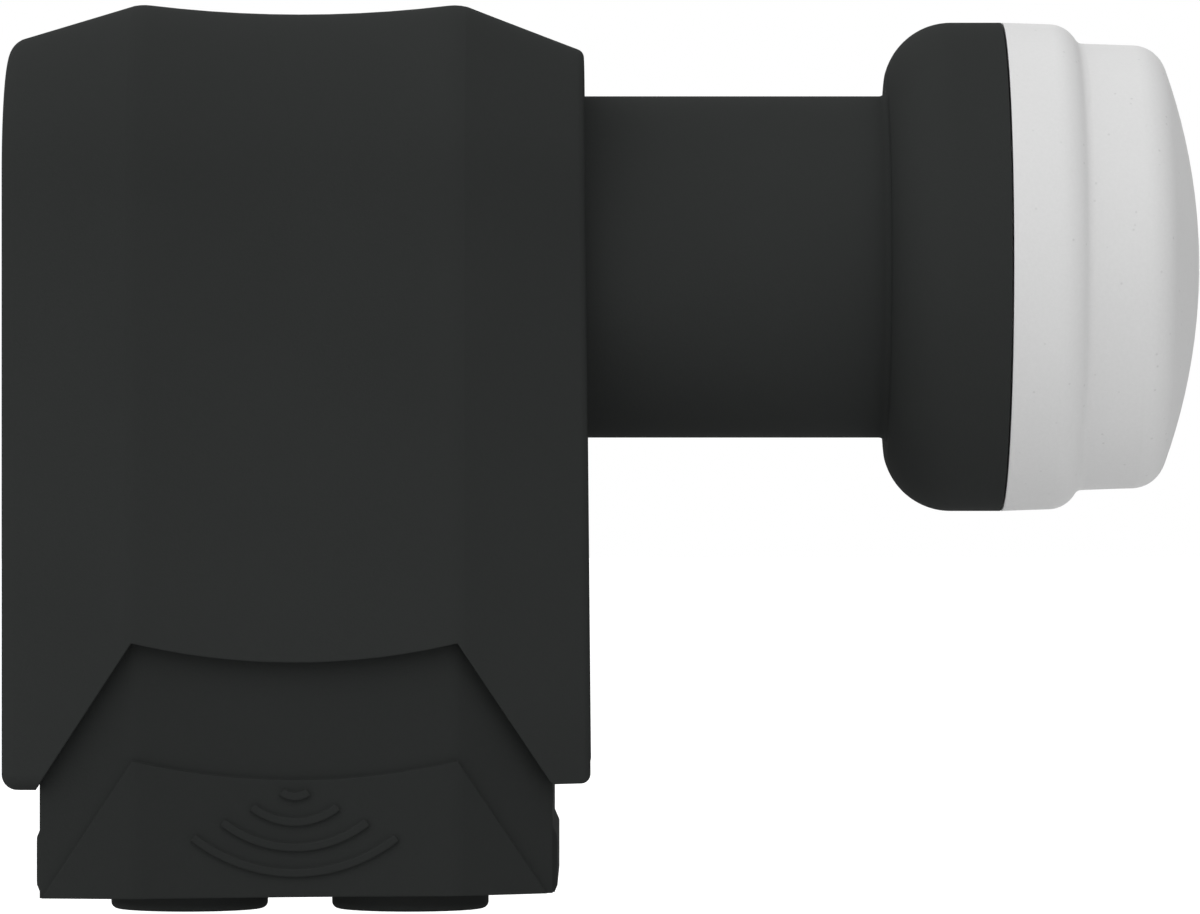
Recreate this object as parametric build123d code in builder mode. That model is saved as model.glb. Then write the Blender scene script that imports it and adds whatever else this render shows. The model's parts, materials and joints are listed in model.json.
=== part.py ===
from build123d import *
import math
import os

# Satellite LNB with four outputs, a sliding weather shroud and a 40 mm neck, in millimetres.
# +X is the neck's axis and points out of the feed cap, +Z is up, the origin is the middle of the neck.

os.makedirs("parts", exist_ok=True)

# Neck, collar and feed cap
neck_diameter = 40.0
neck_length = 36.0
neck_wall = 2.5
neck_relief_length = 0.6
neck_relief_depth = 0.3
neck_seal_section = 1.7
spigot_wall = 2.0
spigot_step = 1.5
collar_diameter = 57.2
collar_length = 13.4
collar_shoulder_length = 7.6
collar_shoulder_drop = 5.8
collar_wall = 2.6
collar_web = 2.4
cap_seam = 0.2
cap_ring_length = 5.6
cap_step_length = 3.8
cap_step_share = 0.75
cap_draft = 2.0
cap_front_diameter = 52.3
cap_front_length = 8.5
cap_edge_radius = 3.8
cap_dome_height = 5.1
cap_wall = 1.6
cap_skirt_length = 8.8
cap_skirt_wall = 1.5
horn_length = 19.6
horn_hub_diameter = 40.0
horn_base = 2.4
horn_mouth_radius = 14.5
horn_ring_wall = 1.2
horn_ring_pitch = 3.4
horn_ring_count = 3
horn_ring_setback = 3.5

# Hood
hood_depth = 60.0
hood_top = 30.2
hood_bottom = -60.3
hood_bottom_rise = 0.8
hood_wall = 1.9
hood_rear_wall = 3.0
hood_rear_round = 2.4
hood_corner_round = 1.8
rim_round = 1.1
ridge_spacing = 37.0
ridge_round = 6.0
ridge_ease = 1.5
channel_depth = 1.2
shoulder_radius = 20.0
front_taper = 21.0
rear_taper = 16.65
rim_overhang_top = 0.65
rim_overhang_bottom = 1.5
cover_thickness = 1.6
cover_ring_wall = 2.0
rib_thickness = 2.0
rib_spacing = 22.0
rib_height = 20.0

# Notch in the hood, and the raised panel of the shroud that fills it
notch_top = -43.4
notch_dip = 2.2
notch_bottom_width = 59.4
notch_foot_round = 0.8
panel_raise = 0.6
panel_gap = 0.6

# Shroud
slide_gap = 0.3
slide_up = 12.8
slider_length = 58.5
slider_front_room = 1.25
slider_rear_room = 1.4
slider_wall = 2.0
slider_bottom = -72.6
slider_bottom_rise = 0.55
slider_floor = 2.3
slider_side_top = -28.0
slider_end_top = -40.0
slider_end_slot = 40.0
pad_raise = 0.55
pad_width = 45.6
pad_height = 8.2
pad_ramp = 1.3
barrel_diameter = 18.1
barrel_bore = 15.5
barrel_drop = 1.75
barrel_round_share = 0.6
port_end_room = 16.5
port_side_room = 17.25
grip_width = 0.9
grip_height = 0.4
grip_count = 4
grip_first_half_width = 1.5
grip_half_width_step = 3.35
grip_first_drop = 2.75
grip_drop_step = 2.9
grip_sag_ratio = 0.35

# Chassis, boards and outputs
inner_gap = 1.1
chassis_wall = 2.0
chassis_front_wall = 3.0
chassis_headroom = 14.2
chassis_bottom = -50.0
chassis_edge_round = 5.0
tube_radius = 12.5
tube_bore_radius = 9.5
tube_overrun = 6.0
tube_ring_width = 4.0
tube_ring_inset = 4.0
post_size = 4.6
post_height = 8.0
lid_thickness = 2.0
plate_thickness = 3.0
gasket_thickness = 0.5
board_thickness = 1.2
board_standoff = 4.0
board_margin = 0.4
backshort_depth = 6.0
backshort_height = 27.0
backshort_cup_depth = 4.5
probe_width = 1.6
probe_length = 6.0
probe_thickness = 0.2
screw_radius = 1.25
screw_head_radius = 2.0
screw_head_height = 1.5
screw_length = 7.0
connector_radius = 4.76
connector_length = 12.0
connector_hex = 11.0
connector_hex_height = 3.5
connector_bore_radius = 3.6
connector_stub_radius = 4.0
connector_seal_section = 0.8
contact_radius = 0.9
contact_rise = 1.5
contact_recess = 2.5
standoff_radius = 2.5
standoff_outset = 1.25
chip_size = 4.0
chip_height = 0.9
chip_pitch_y = 16.0
chip_pitch_z = 7.0
chip_drop = 24.0
crystal_width = 5.0
crystal_height = 3.2
switch_chip_size = 11.0
switch_chip_height = 1.4
regulator_length = 4.5
regulator_width = 5.0
regulator_height = 1.6
regulator_gap = 1.0
capacitor_radius = 2.0
capacitor_height = 5.0
capacitor_gap = 0.5
capacitor_inset = 2.25
header_length = 2.5
header_width = 14.0
header_height = 2.5
header_gap = 1.05
header_pin = 0.6
header_pin_pitch = 2.0
header_pin_count = 6
fit_clearance = 0.15
thread_clearance = 0.05
hair = 0.01
steep_least = 0.5

# Stations worked out from the dimensions above
neck_radius = neck_diameter / 2
neck_rear_x = -neck_length / 2
neck_front_x = neck_length / 2
collar_radius = collar_diameter / 2
collar_front_x = neck_front_x + collar_length
slider_half_length = slider_length / 2
body_setback = slider_half_length + slider_front_room + cover_thickness
hood_rear = slider_half_length + slider_rear_room + hood_rear_wall
body_x = neck_rear_x - body_setback
half_depth = hood_depth / 2
ridge_half = ridge_spacing / 2
spring_z = hood_top - shoulder_radius
below_hood = hood_bottom - hood_depth / 2
front_slope = math.tan(math.radians(front_taper))
rear_slope = math.tan(math.radians(rear_taper))
front_miter = math.tan(math.radians(front_taper / 2))
rear_miter = math.tan(math.radians(rear_taper / 2))
hood_rear_x = body_x - hood_rear
cover_back_x = neck_rear_x - cover_thickness
pocket_back_x = cover_back_x - 2 * slide_gap
pocket_inset = (body_setback - ridge_half) * front_slope + hood_wall
slider_inset = hood_wall + slide_gap
slider_cavity_inset = slider_inset + slider_wall
slider_cavity_half_length = slider_half_length - slider_wall
sleeve_bore_radius = neck_radius - neck_wall
spigot_radius = neck_radius - spigot_step
cup_radius = collar_radius - collar_wall
web_front_x = neck_front_x + collar_web
chassis_half_length = slider_cavity_half_length - inner_gap
chassis_front_x = body_x + chassis_half_length
lid_rear_x = body_x - chassis_half_length
chassis_rear_x = lid_rear_x + lid_thickness + gasket_thickness
chassis_top = hood_top - chassis_headroom
chassis_inner_front_x = chassis_front_x - chassis_front_wall
tube_front_x = neck_front_x + tube_overrun
plate_top = chassis_bottom - gasket_thickness
plate_bottom = plate_top - plate_thickness
port_pitch = slider_length - 2 * port_end_room
port_row_pitch = hood_depth - 2 * port_side_room
port_half = port_pitch / 2
port_row_half = port_row_pitch / 2
output_board_bottom = plate_top + board_standoff
output_board_top = output_board_bottom + board_thickness


def front_half_width(inset, distance):
    """Half the housing's depth this far in front of the body's middle, on a skin set in by this inset."""
    return half_depth - inset - (distance - ridge_half + inset * front_miter) * front_slope


def rear_half_width(inset, distance):
    """Half the housing's depth this far behind the body's middle, on a skin set in by this inset."""
    return half_depth - inset - (distance - ridge_half + inset * rear_miter) * rear_slope


chassis_half_width = front_half_width(slider_cavity_inset, chassis_half_length) - inner_gap
chassis_inner_half_width = chassis_half_width - chassis_wall


def arch(inset, bottom):
    """Draw the hood's cross-section, this far inside its outer faces, into the open sketch."""
    half = half_depth - inset
    radius = shoulder_radius - inset
    crown = half - radius
    with BuildLine() as outline:
        near = Line((-half, bottom), (-half, spring_z))
        near_shoulder = TangentArc(near @ 1, (-crown, spring_z + radius), tangent=(0, 1))
        roof = Line(near_shoulder @ 1, (crown, spring_z + radius))
        far_shoulder = TangentArc(roof @ 1, (half, spring_z), tangent=(1, 0))
        far = Line(far_shoulder @ 1, (half, bottom))
        Line(far @ 1, near @ 0)
    make_face(outline.edges())


def housing_block(inset, rear_length, front_length):
    """Add the hood's block to the open part: a straight band between the ridges and tapered end bands."""
    rear_ridge = ridge_half - inset * rear_miter
    front_ridge = ridge_half - inset * front_miter
    rear_plane = Plane(origin=(body_x - rear_ridge, 0, 0), x_dir=(0, -1, 0), z_dir=(-1, 0, 0))
    with BuildSketch(Plane.YZ.offset(body_x - rear_ridge)) as middle_band:
        arch(inset, below_hood)
    extrude(middle_band.sketch, amount=rear_ridge + front_ridge)
    with BuildSketch(Plane.YZ.offset(body_x + front_ridge)) as front_band:
        arch(inset, below_hood)
    extrude(front_band.sketch, amount=front_length - front_ridge, taper=front_taper)
    with BuildSketch(rear_plane) as rear_band:
        arch(inset, below_hood)
    extrude(rear_band.sketch, amount=rear_length - rear_ridge, taper=rear_taper)


def trough_outline(inset):
    """Draw the trough's section, with rounded ridges beside it, into the open sketch; up is outwards."""
    rear_ridge = ridge_half - inset * rear_miter
    front_ridge = ridge_half - inset * front_miter
    rear_end = rear_ridge + ridge_round
    front_end = front_ridge + ridge_round
    rear_foot = ridge_round * math.tan(math.radians(rear_taper - ridge_ease))
    front_foot = ridge_round * math.tan(math.radians(front_taper - ridge_ease))
    with BuildLine() as outline:
        hollow = ThreePointArc((-rear_ridge, 0), (0, -channel_depth), (front_ridge, 0))
        Polyline(
            hollow @ 1,
            (front_end, -front_foot),
            (front_end, channel_depth),
            (-rear_end, channel_depth),
            (-rear_end, -rear_foot),
            hollow @ 0,
        )
    make_face(outline.edges())
    fillet(vertices().filter_by(lambda corner: abs(corner.Y) < hair), ridge_round - inset)


def channel_tool(inset):
    """Add a shallow trough that runs up one side, over the roof and down the other to the open part."""
    half = half_depth - inset
    radius = shoulder_radius - inset
    crown = half - radius
    roof_z = spring_z + radius
    side_plane = Plane(origin=(body_x, -half, spring_z), x_dir=(1, 0, 0), z_dir=(0, 0, -1))
    roof_plane = Plane(origin=(body_x, -crown, roof_z), x_dir=(1, 0, 0), z_dir=(0, -1, 0))
    with BuildSketch(side_plane) as side_section:
        trough_outline(inset)
    extrude(side_section.sketch, amount=-2 * below_hood)
    revolve(side_section.sketch, axis=Axis((0, -crown, spring_z), (-1, 0, 0)), revolution_arc=90)
    with BuildSketch(roof_plane) as roof_section:
        trough_outline(inset)
    extrude(roof_section.sketch, amount=-crown)
    mirror(about=Plane.XZ)


def plan(inset, half_length):
    """Draw the housing's plan, this far inside its facets and with flat ends, into the open sketch."""
    half = half_depth - inset
    rear_ridge = ridge_half - inset * rear_miter
    front_ridge = ridge_half - inset * front_miter
    rear_half = rear_half_width(inset, half_length)
    front_half = front_half_width(inset, half_length)
    rear_x = body_x - half_length
    front_x = body_x + half_length
    rear_ridge_x = body_x - rear_ridge
    front_ridge_x = body_x + front_ridge
    with BuildLine() as outline:
        near = ThreePointArc((rear_ridge_x, -half), (body_x, channel_depth - half), (front_ridge_x, -half))
        far = ThreePointArc((front_ridge_x, half), (body_x, half - channel_depth), (rear_ridge_x, half))
        Polyline(near @ 1, (front_x, -front_half), (front_x, front_half), far @ 0)
        Polyline(far @ 1, (rear_x, rear_half), (rear_x, -rear_half), near @ 0)
    make_face(outline.edges())
    fillet(vertices().filter_by(lambda corner: abs(abs(corner.Y) - half) < hair), ridge_round - inset)


def notch_outline(drop, bottom):
    """Draw the notch's outline, lowered by this drop and open down to this height, into the open sketch."""
    top = notch_top - drop
    slope = (notch_bottom_width / 2 - ridge_half) / (notch_top - hood_bottom)
    foot = ridge_half + (top - bottom) * slope
    with BuildLine() as outline:
        rear_top = (body_x - ridge_half, top)
        front_top = (body_x + ridge_half, top)
        smile = ThreePointArc(rear_top, (body_x, top - notch_dip), front_top)
        Polyline(smile @ 1, (body_x + foot, bottom), (body_x - foot, bottom), smile @ 0)
    make_face(outline.edges())


def faces_back_and_down(face):
    """Tell whether a flat face looks backwards and down at a slant, as the front sides of the notch do."""
    normal = face.normal_at()
    return abs(normal.Y) < hair and normal.X < -steep_least and normal.Z < -hair


# Hood: the faceted shell, hollow, open in front and below, with the trough that wraps over it
with BuildPart() as hood_block:
    housing_block(0, hood_rear, body_setback + rim_overhang_bottom + ridge_half)
with BuildPart() as hood_trough:
    channel_tool(0)
with BuildPart() as cavity_block:
    housing_block(hood_wall, hood_rear - hood_rear_wall, pocket_back_x - body_x)
with BuildPart() as cavity_trough:
    channel_tool(hood_wall)
with BuildPart() as cavity:
    add(cavity_block.part)
    add(cavity_trough.part, mode=Mode.SUBTRACT)
with BuildPart() as hood:
    add(hood_block.part)
    add(hood_trough.part, mode=Mode.SUBTRACT)
    rear_face = hood.faces().sort_by(Axis.X)[0]
    fillet(rear_face.edges().filter_by(lambda e: e.center().Z > below_hood + hood_wall), hood_rear_round)
    with BuildSketch(Plane.XZ):
        with BuildLine():
            rim_front_x = neck_rear_x + hood_depth
            Polyline(
                (neck_rear_x + rim_overhang_top, hood_top),
                (neck_rear_x + rim_overhang_bottom, hood_bottom + hood_bottom_rise),
                (hood_rear_x, hood_bottom),
                (hood_rear_x - hood_wall, hood_bottom),
                (hood_rear_x - hood_wall, below_hood - hood_wall),
                (rim_front_x, below_hood - hood_wall),
                (rim_front_x, hood_top),
                close=True,
            )
        make_face()
    extrude(amount=hood_depth, both=True, mode=Mode.SUBTRACT)
    rear_bottom = hood.edges().filter_by(Axis.Y).group_by(Axis.Z)[0].sort_by(Axis.X)[0]
    fillet(rear_bottom, hood_corner_round)
    front_face = hood.faces().sort_by(Axis.X)[-1]
    fillet(front_face.edges(), rim_round)
    add(cavity.part, mode=Mode.SUBTRACT)
    with BuildSketch(Plane.YZ.offset(pocket_back_x)):
        arch(pocket_inset, below_hood)
    extrude(amount=hood_depth, mode=Mode.SUBTRACT)
    with BuildSketch(Plane.XZ):
        notch_outline(0, below_hood)
    extrude(amount=hood_depth, both=True, mode=Mode.SUBTRACT)
    notch_fronts = hood.faces().filter_by(GeomType.PLANE).filter_by(faces_back_and_down)
    fillet([side.edges().sort_by(Axis.Z)[0] for side in notch_fronts], notch_foot_round)
    # Side ribs that steady the chassis, and one rib behind it, all above the shroud's travel
    rib_bottom = slider_side_top + slide_up + inner_gap
    rib_inner = chassis_half_width + fit_clearance
    rib_outer = half_depth - channel_depth - hood_wall / 2
    with BuildSketch(Plane.XY.offset(rib_bottom)):
        with Locations((body_x, (rib_inner + rib_outer) / 2), (body_x, -(rib_inner + rib_outer) / 2)):
            with GridLocations(rib_spacing, 0, 2, 1):
                Rectangle(rib_thickness, rib_outer - rib_inner)
        rear_rib_start = hood_rear_x + hood_rear_wall / 2
        rear_rib_end = lid_rear_x - fit_clearance
        with Locations(((rear_rib_start + rear_rib_end) / 2, 0)):
            Rectangle(rear_rib_end - rear_rib_start, rib_thickness)
    extrude(amount=rib_height)
hood.part.label = "hood"
export_step(hood.part, "parts/hood.step")

# Front cover: a plate in the hood's open front, with a ring that steadies the neck's spigot
with BuildPart() as front_cover:
    with BuildSketch(Plane.YZ.offset(cover_back_x)):
        arch(pocket_inset + fit_clearance, hood_bottom + hood_bottom_rise)
    extrude(amount=cover_thickness)
    with BuildSketch(Plane.YZ.offset(chassis_front_x + fit_clearance)):
        Circle(spigot_radius + fit_clearance + cover_ring_wall)
    extrude(amount=cover_back_x - chassis_front_x - fit_clearance)
    with BuildSketch(Plane.YZ.offset(chassis_front_x)):
        Circle(spigot_radius + fit_clearance)
    extrude(amount=hood_depth, mode=Mode.SUBTRACT)
front_cover.part.label = "front_cover"
export_step(front_cover.part, "parts/front_cover.step")

# Shroud: a faceted sleeve with a floor, raised panels, end pads and four barrels
with BuildPart() as panel:
    with BuildSketch(Plane.XY.offset(slider_bottom)):
        plan(slider_inset - panel_raise, slider_half_length)
    extrude(amount=notch_top - slider_bottom)
    with BuildSketch(Plane.XZ):
        notch_outline(slide_up + panel_gap, slider_bottom)
    extrude(amount=hood_depth, both=True, mode=Mode.INTERSECT)
with BuildPart() as grip:
    with BuildSketch(Plane.XY.offset(slider_bottom)):
        plan(slider_inset - panel_raise - grip_height, slider_half_length)
    extrude(amount=notch_top - slider_bottom)
    with BuildSketch(Plane.XZ):
        with BuildLine():
            for row in range(grip_count):
                half = grip_first_half_width + row * grip_half_width_step
                lowest = notch_top - slide_up - panel_gap - notch_dip
                bottom = lowest - grip_first_drop + grip_width - row * grip_drop_step
                rise = half * grip_sag_ratio
                rear_tip = (body_x - half, bottom + rise)
                front_tip = (body_x + half, bottom + rise)
                ThreePointArc(rear_tip, (body_x, bottom), front_tip)
        trace(line_width=grip_width)
    extrude(amount=hood_depth, both=True, mode=Mode.INTERSECT)
with BuildPart() as slider:
    with BuildSketch(Plane.XY.offset(slider_bottom)):
        plan(slider_inset, slider_half_length)
    extrude(amount=slider_side_top - slider_bottom)
    add(panel.part)
    add(grip.part)
    pad_taper = math.degrees(math.atan(pad_ramp / pad_raise))
    for toward in (-1, 1):
        pad_centre = (body_x + toward * slider_half_length, 0, slider_bottom + pad_height / 2)
        with BuildSketch(Plane(origin=pad_centre, x_dir=(0, toward, 0), z_dir=(toward, 0, 0))):
            RectangleRounded(pad_width, pad_height, pad_height / 4)
        extrude(amount=pad_raise, taper=pad_taper)
    with BuildSketch(Plane.XZ):
        with BuildLine():
            floor_rear_x = body_x - slider_length
            floor_front_x = body_x + slider_length
            floor_slope = slider_bottom_rise / slider_length
            Polyline(
                (floor_rear_x, slider_bottom - floor_slope * slider_half_length),
                (floor_front_x, slider_bottom + floor_slope * (slider_length + slider_half_length)),
                (floor_front_x, slider_bottom - slider_floor),
                (floor_rear_x, slider_bottom - slider_floor),
                close=True,
            )
        make_face()
    extrude(amount=hood_depth, both=True, mode=Mode.SUBTRACT)
    with BuildSketch(Plane.XY.offset(slider_bottom + slider_floor)):
        plan(slider_cavity_inset, slider_cavity_half_length)
    extrude(amount=slider_side_top - slider_bottom, mode=Mode.SUBTRACT)
    with BuildSketch(Plane.YZ.offset(body_x - slider_length)):
        with Locations((0, slider_end_top)):
            Rectangle(slider_end_slot, hood_depth, align=(Align.CENTER, Align.MIN))
    extrude(amount=2 * slider_length, mode=Mode.SUBTRACT)
    with BuildSketch(Plane.XY.offset(slider_bottom - barrel_drop)):
        with Locations((body_x, 0)):
            with GridLocations(port_pitch, port_row_pitch, 2, 2):
                Circle(barrel_diameter / 2)
    extrude(amount=barrel_drop + slider_floor)
    with BuildSketch(Plane.XY.offset(slider_bottom - barrel_drop)):
        with Locations((body_x, 0)):
            with GridLocations(port_pitch, port_row_pitch, 2, 2):
                Circle(barrel_bore / 2)
    extrude(amount=barrel_drop + slider_floor, mode=Mode.SUBTRACT)
    barrel_wall = (barrel_diameter - barrel_bore) / 2
    barrel_rims = slider.edges().group_by(Axis.Z)[0]
    outer_rims = barrel_rims.filter_by(lambda edge: edge.radius > barrel_bore / 2 + barrel_wall / 2)
    fillet(outer_rims, barrel_wall * barrel_round_share)
slider.part.label = "slider"
export_step(slider.part, "parts/slider.step")

# Neck sleeve: the clamp seat, the spigot behind it and the collar cup in front
with BuildPart() as neck_sleeve:
    with BuildSketch(Plane.XZ):
        with BuildLine():
            relief_x = neck_front_x - neck_relief_length
            relief_radius = neck_radius - neck_relief_depth
            spigot_end_x = chassis_front_x + fit_clearance
            shoulder_foot = collar_radius - collar_shoulder_drop
            back = Polyline(
                (spigot_end_x, spigot_radius),
                (neck_rear_x, spigot_radius),
                (neck_rear_x, neck_radius),
                (relief_x, neck_radius),
                (relief_x, relief_radius),
                (neck_front_x, relief_radius),
                (neck_front_x, shoulder_foot),
            )
            shoulder_end = (neck_front_x + collar_shoulder_length, collar_radius)
            shoulder = TangentArc(shoulder_end, back @ 1, tangent=(-1, 0))
            Polyline(
                shoulder @ 0,
                (collar_front_x, collar_radius),
                (collar_front_x, cup_radius),
                (web_front_x, cup_radius),
                (web_front_x, sleeve_bore_radius),
                (neck_rear_x, sleeve_bore_radius),
                (neck_rear_x, spigot_radius - spigot_wall),
                (spigot_end_x, spigot_radius - spigot_wall),
                back @ 0,
            )
        make_face()
    revolve(axis=Axis.X)
neck_sleeve.part.label = "neck_sleeve"
export_step(neck_sleeve.part, "parts/neck_sleeve.step")

# Feed cap: a stepped ring with a shallow dome, hollow, and a skirt that seats in the collar cup
cap_rear_x = collar_front_x + cap_seam
cap_step_x = cap_rear_x + cap_ring_length
cap_front_ring_x = cap_step_x + cap_step_length
cap_edge_x = cap_front_ring_x + cap_front_length
cap_front_radius = cap_front_diameter / 2
cap_tip_x = cap_edge_x + cap_dome_height
cap_lean = math.tan(math.radians(cap_draft))
skirt_radius = cup_radius - fit_clearance
skirt_rear_x = collar_front_x - cap_skirt_length


def cap_profile(inset, rear_x):
    """Draw half of the cap's section, this far inside its outer skin, into the open sketch."""
    step_x = cap_step_x - inset
    level_x = cap_front_ring_x - inset
    edge_x = cap_edge_x - inset
    ring_end = (step_x, collar_radius - inset - (cap_step_x - cap_rear_x) * cap_lean)
    level_start = (level_x, cap_front_radius - inset)
    edge = (edge_x, cap_front_radius - inset - (edge_x - level_x) * cap_lean)
    middle = (
        ring_end[0] + (level_start[0] - ring_end[0]) * cap_step_share,
        ring_end[1] + (level_start[1] - ring_end[1]) * cap_step_share,
    )
    with BuildLine() as outline:
        ring = Line((rear_x, collar_radius - inset - (rear_x + inset - cap_rear_x) * cap_lean), ring_end)
        TangentArc(ring @ 1, middle, tangent=(1, -cap_lean))
        level = TangentArc(level_start, middle, tangent=(-1, cap_lean))
        side = Line(level @ 0, edge)
        dome = TangentArc((cap_tip_x - inset, 0), side @ 1, tangent=(0, 1))
        Polyline(dome @ 0, (rear_x, 0), ring @ 0)
    make_face(outline.edges())
    fillet(vertices().filter_by(lambda corner: abs(corner.X - edge_x) < hair), cap_edge_radius - inset)


with BuildPart() as feed_cap:
    with BuildSketch(Plane.XZ):
        cap_profile(0, cap_rear_x)
    revolve(axis=Axis.X)
    with BuildSketch(Plane.XZ):
        with BuildLine():
            Polyline(
                (skirt_rear_x, 0),
                (skirt_rear_x, skirt_radius),
                (cap_rear_x, skirt_radius),
                (cap_rear_x, 0),
                close=True,
            )
        make_face()
    revolve(axis=Axis.X)
    with BuildSketch(Plane.XZ):
        cap_profile(cap_wall, cap_rear_x + cap_wall)
    revolve(axis=Axis.X, mode=Mode.SUBTRACT)
    with BuildSketch(Plane.XZ):
        with BuildLine():
            Polyline(
                (skirt_rear_x, 0),
                (skirt_rear_x, skirt_radius - cap_skirt_wall),
                (cap_step_x - cap_wall, skirt_radius - cap_skirt_wall),
                (cap_step_x - cap_wall, 0),
                close=True,
            )
        make_face()
    revolve(axis=Axis.X, mode=Mode.SUBTRACT)
feed_cap.part.label = "feed_cap"
export_step(feed_cap.part, "parts/feed_cap.step")

# Seals: one between the collar's web and the cap's skirt, one in the tube's front ring
cap_seal_radius = (skirt_rear_x - web_front_x) / 2 - thread_clearance
with BuildPart() as cap_seal:
    with BuildSketch(Plane.XZ):
        with Locations(((skirt_rear_x + web_front_x) / 2, cup_radius - cap_seal_radius - thread_clearance)):
            Circle(cap_seal_radius)
    revolve(axis=Axis.X)
cap_seal.part.label = "cap_seal"
export_step(cap_seal.part, "parts/cap_seal.step")

ring_radius = sleeve_bore_radius - fit_clearance
front_ring_x = neck_front_x - tube_ring_inset
rear_ring_x = neck_rear_x + tube_ring_inset
neck_seal_radius = neck_seal_section / 2
groove_half = neck_seal_radius + fit_clearance
groove_radius = sleeve_bore_radius - neck_seal_section - 2 * thread_clearance
with BuildPart() as neck_seal:
    with BuildSketch(Plane.XZ):
        with Locations((front_ring_x, sleeve_bore_radius - neck_seal_radius - thread_clearance)):
            Circle(neck_seal_radius)
    revolve(axis=Axis.X)
neck_seal.part.label = "neck_seal"
export_step(neck_seal.part, "parts/neck_seal.step")

# Feed horn: a hub on the tube, a flared throat and corrugation rings that stand back from its mouth
horn_rear_x = web_front_x
horn_front_x = horn_rear_x + horn_length
horn_base_x = tube_front_x + horn_base
throat_x = tube_front_x + thread_clearance
mouth_wall_radius = horn_mouth_radius + horn_ring_wall
horn_rim_radius = mouth_wall_radius + (horn_ring_count - 1) * horn_ring_pitch
with BuildPart() as feed_horn:
    with BuildSketch(Plane.XZ):
        with BuildLine():
            Polyline(
                (horn_rear_x, tube_radius + thread_clearance),
                (horn_rear_x, horn_hub_diameter / 2),
                (tube_front_x, horn_hub_diameter / 2),
                (tube_front_x, horn_rim_radius),
                (horn_base_x, horn_rim_radius),
                (horn_base_x, mouth_wall_radius),
                (horn_front_x, mouth_wall_radius),
                (horn_front_x, horn_mouth_radius),
                (throat_x, tube_bore_radius),
                (throat_x, tube_radius + thread_clearance),
                close=True,
            )
        make_face()
        for ring in range(1, horn_ring_count):
            ring_outer = mouth_wall_radius + ring * horn_ring_pitch
            ring_end_x = horn_front_x - ring * horn_ring_setback
            ring_middle = ((tube_front_x + ring_end_x) / 2, ring_outer - horn_ring_wall / 2)
            with Locations(ring_middle):
                Rectangle(ring_end_x - tube_front_x, horn_ring_wall)
    revolve(axis=Axis.X)
feed_horn.part.label = "feed_horn"
export_step(feed_horn.part, "parts/feed_horn.step")

# Chassis: a cast box, open behind and below, with the waveguide tube in front
board_half_width = chassis_inner_half_width - board_margin
receiver_front_x = chassis_inner_front_x
receiver_rear_x = receiver_front_x - board_thickness
post_half = post_size / 2
post_y = chassis_inner_half_width - post_half
front_post_x = receiver_rear_x - board_margin - post_half
rear_post_x = chassis_rear_x + post_half
posts_middle_x = (front_post_x + rear_post_x) / 2
posts_spacing_x = front_post_x - rear_post_x
chassis_inner_top = chassis_top - chassis_wall
lid_post_top_z = chassis_inner_top - post_half
lid_post_bottom_z = chassis_bottom + post_height + post_half
lid_posts_middle_z = (lid_post_top_z + lid_post_bottom_z) / 2
lid_posts_spacing_z = lid_post_top_z - lid_post_bottom_z
backshort_top_z = chassis_inner_top - board_margin
backshort_bottom_z = backshort_top_z - backshort_height
backshort_middle_z = (backshort_top_z + backshort_bottom_z) / 2
backshort_rear_x = receiver_rear_x - backshort_depth
backshort_half_width = chassis_inner_half_width - chassis_wall
backshort_screw_y = backshort_half_width - screw_head_radius - thread_clearance
backshort_screws_spacing_z = backshort_height - 2 * (screw_head_radius + thread_clearance)
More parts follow.
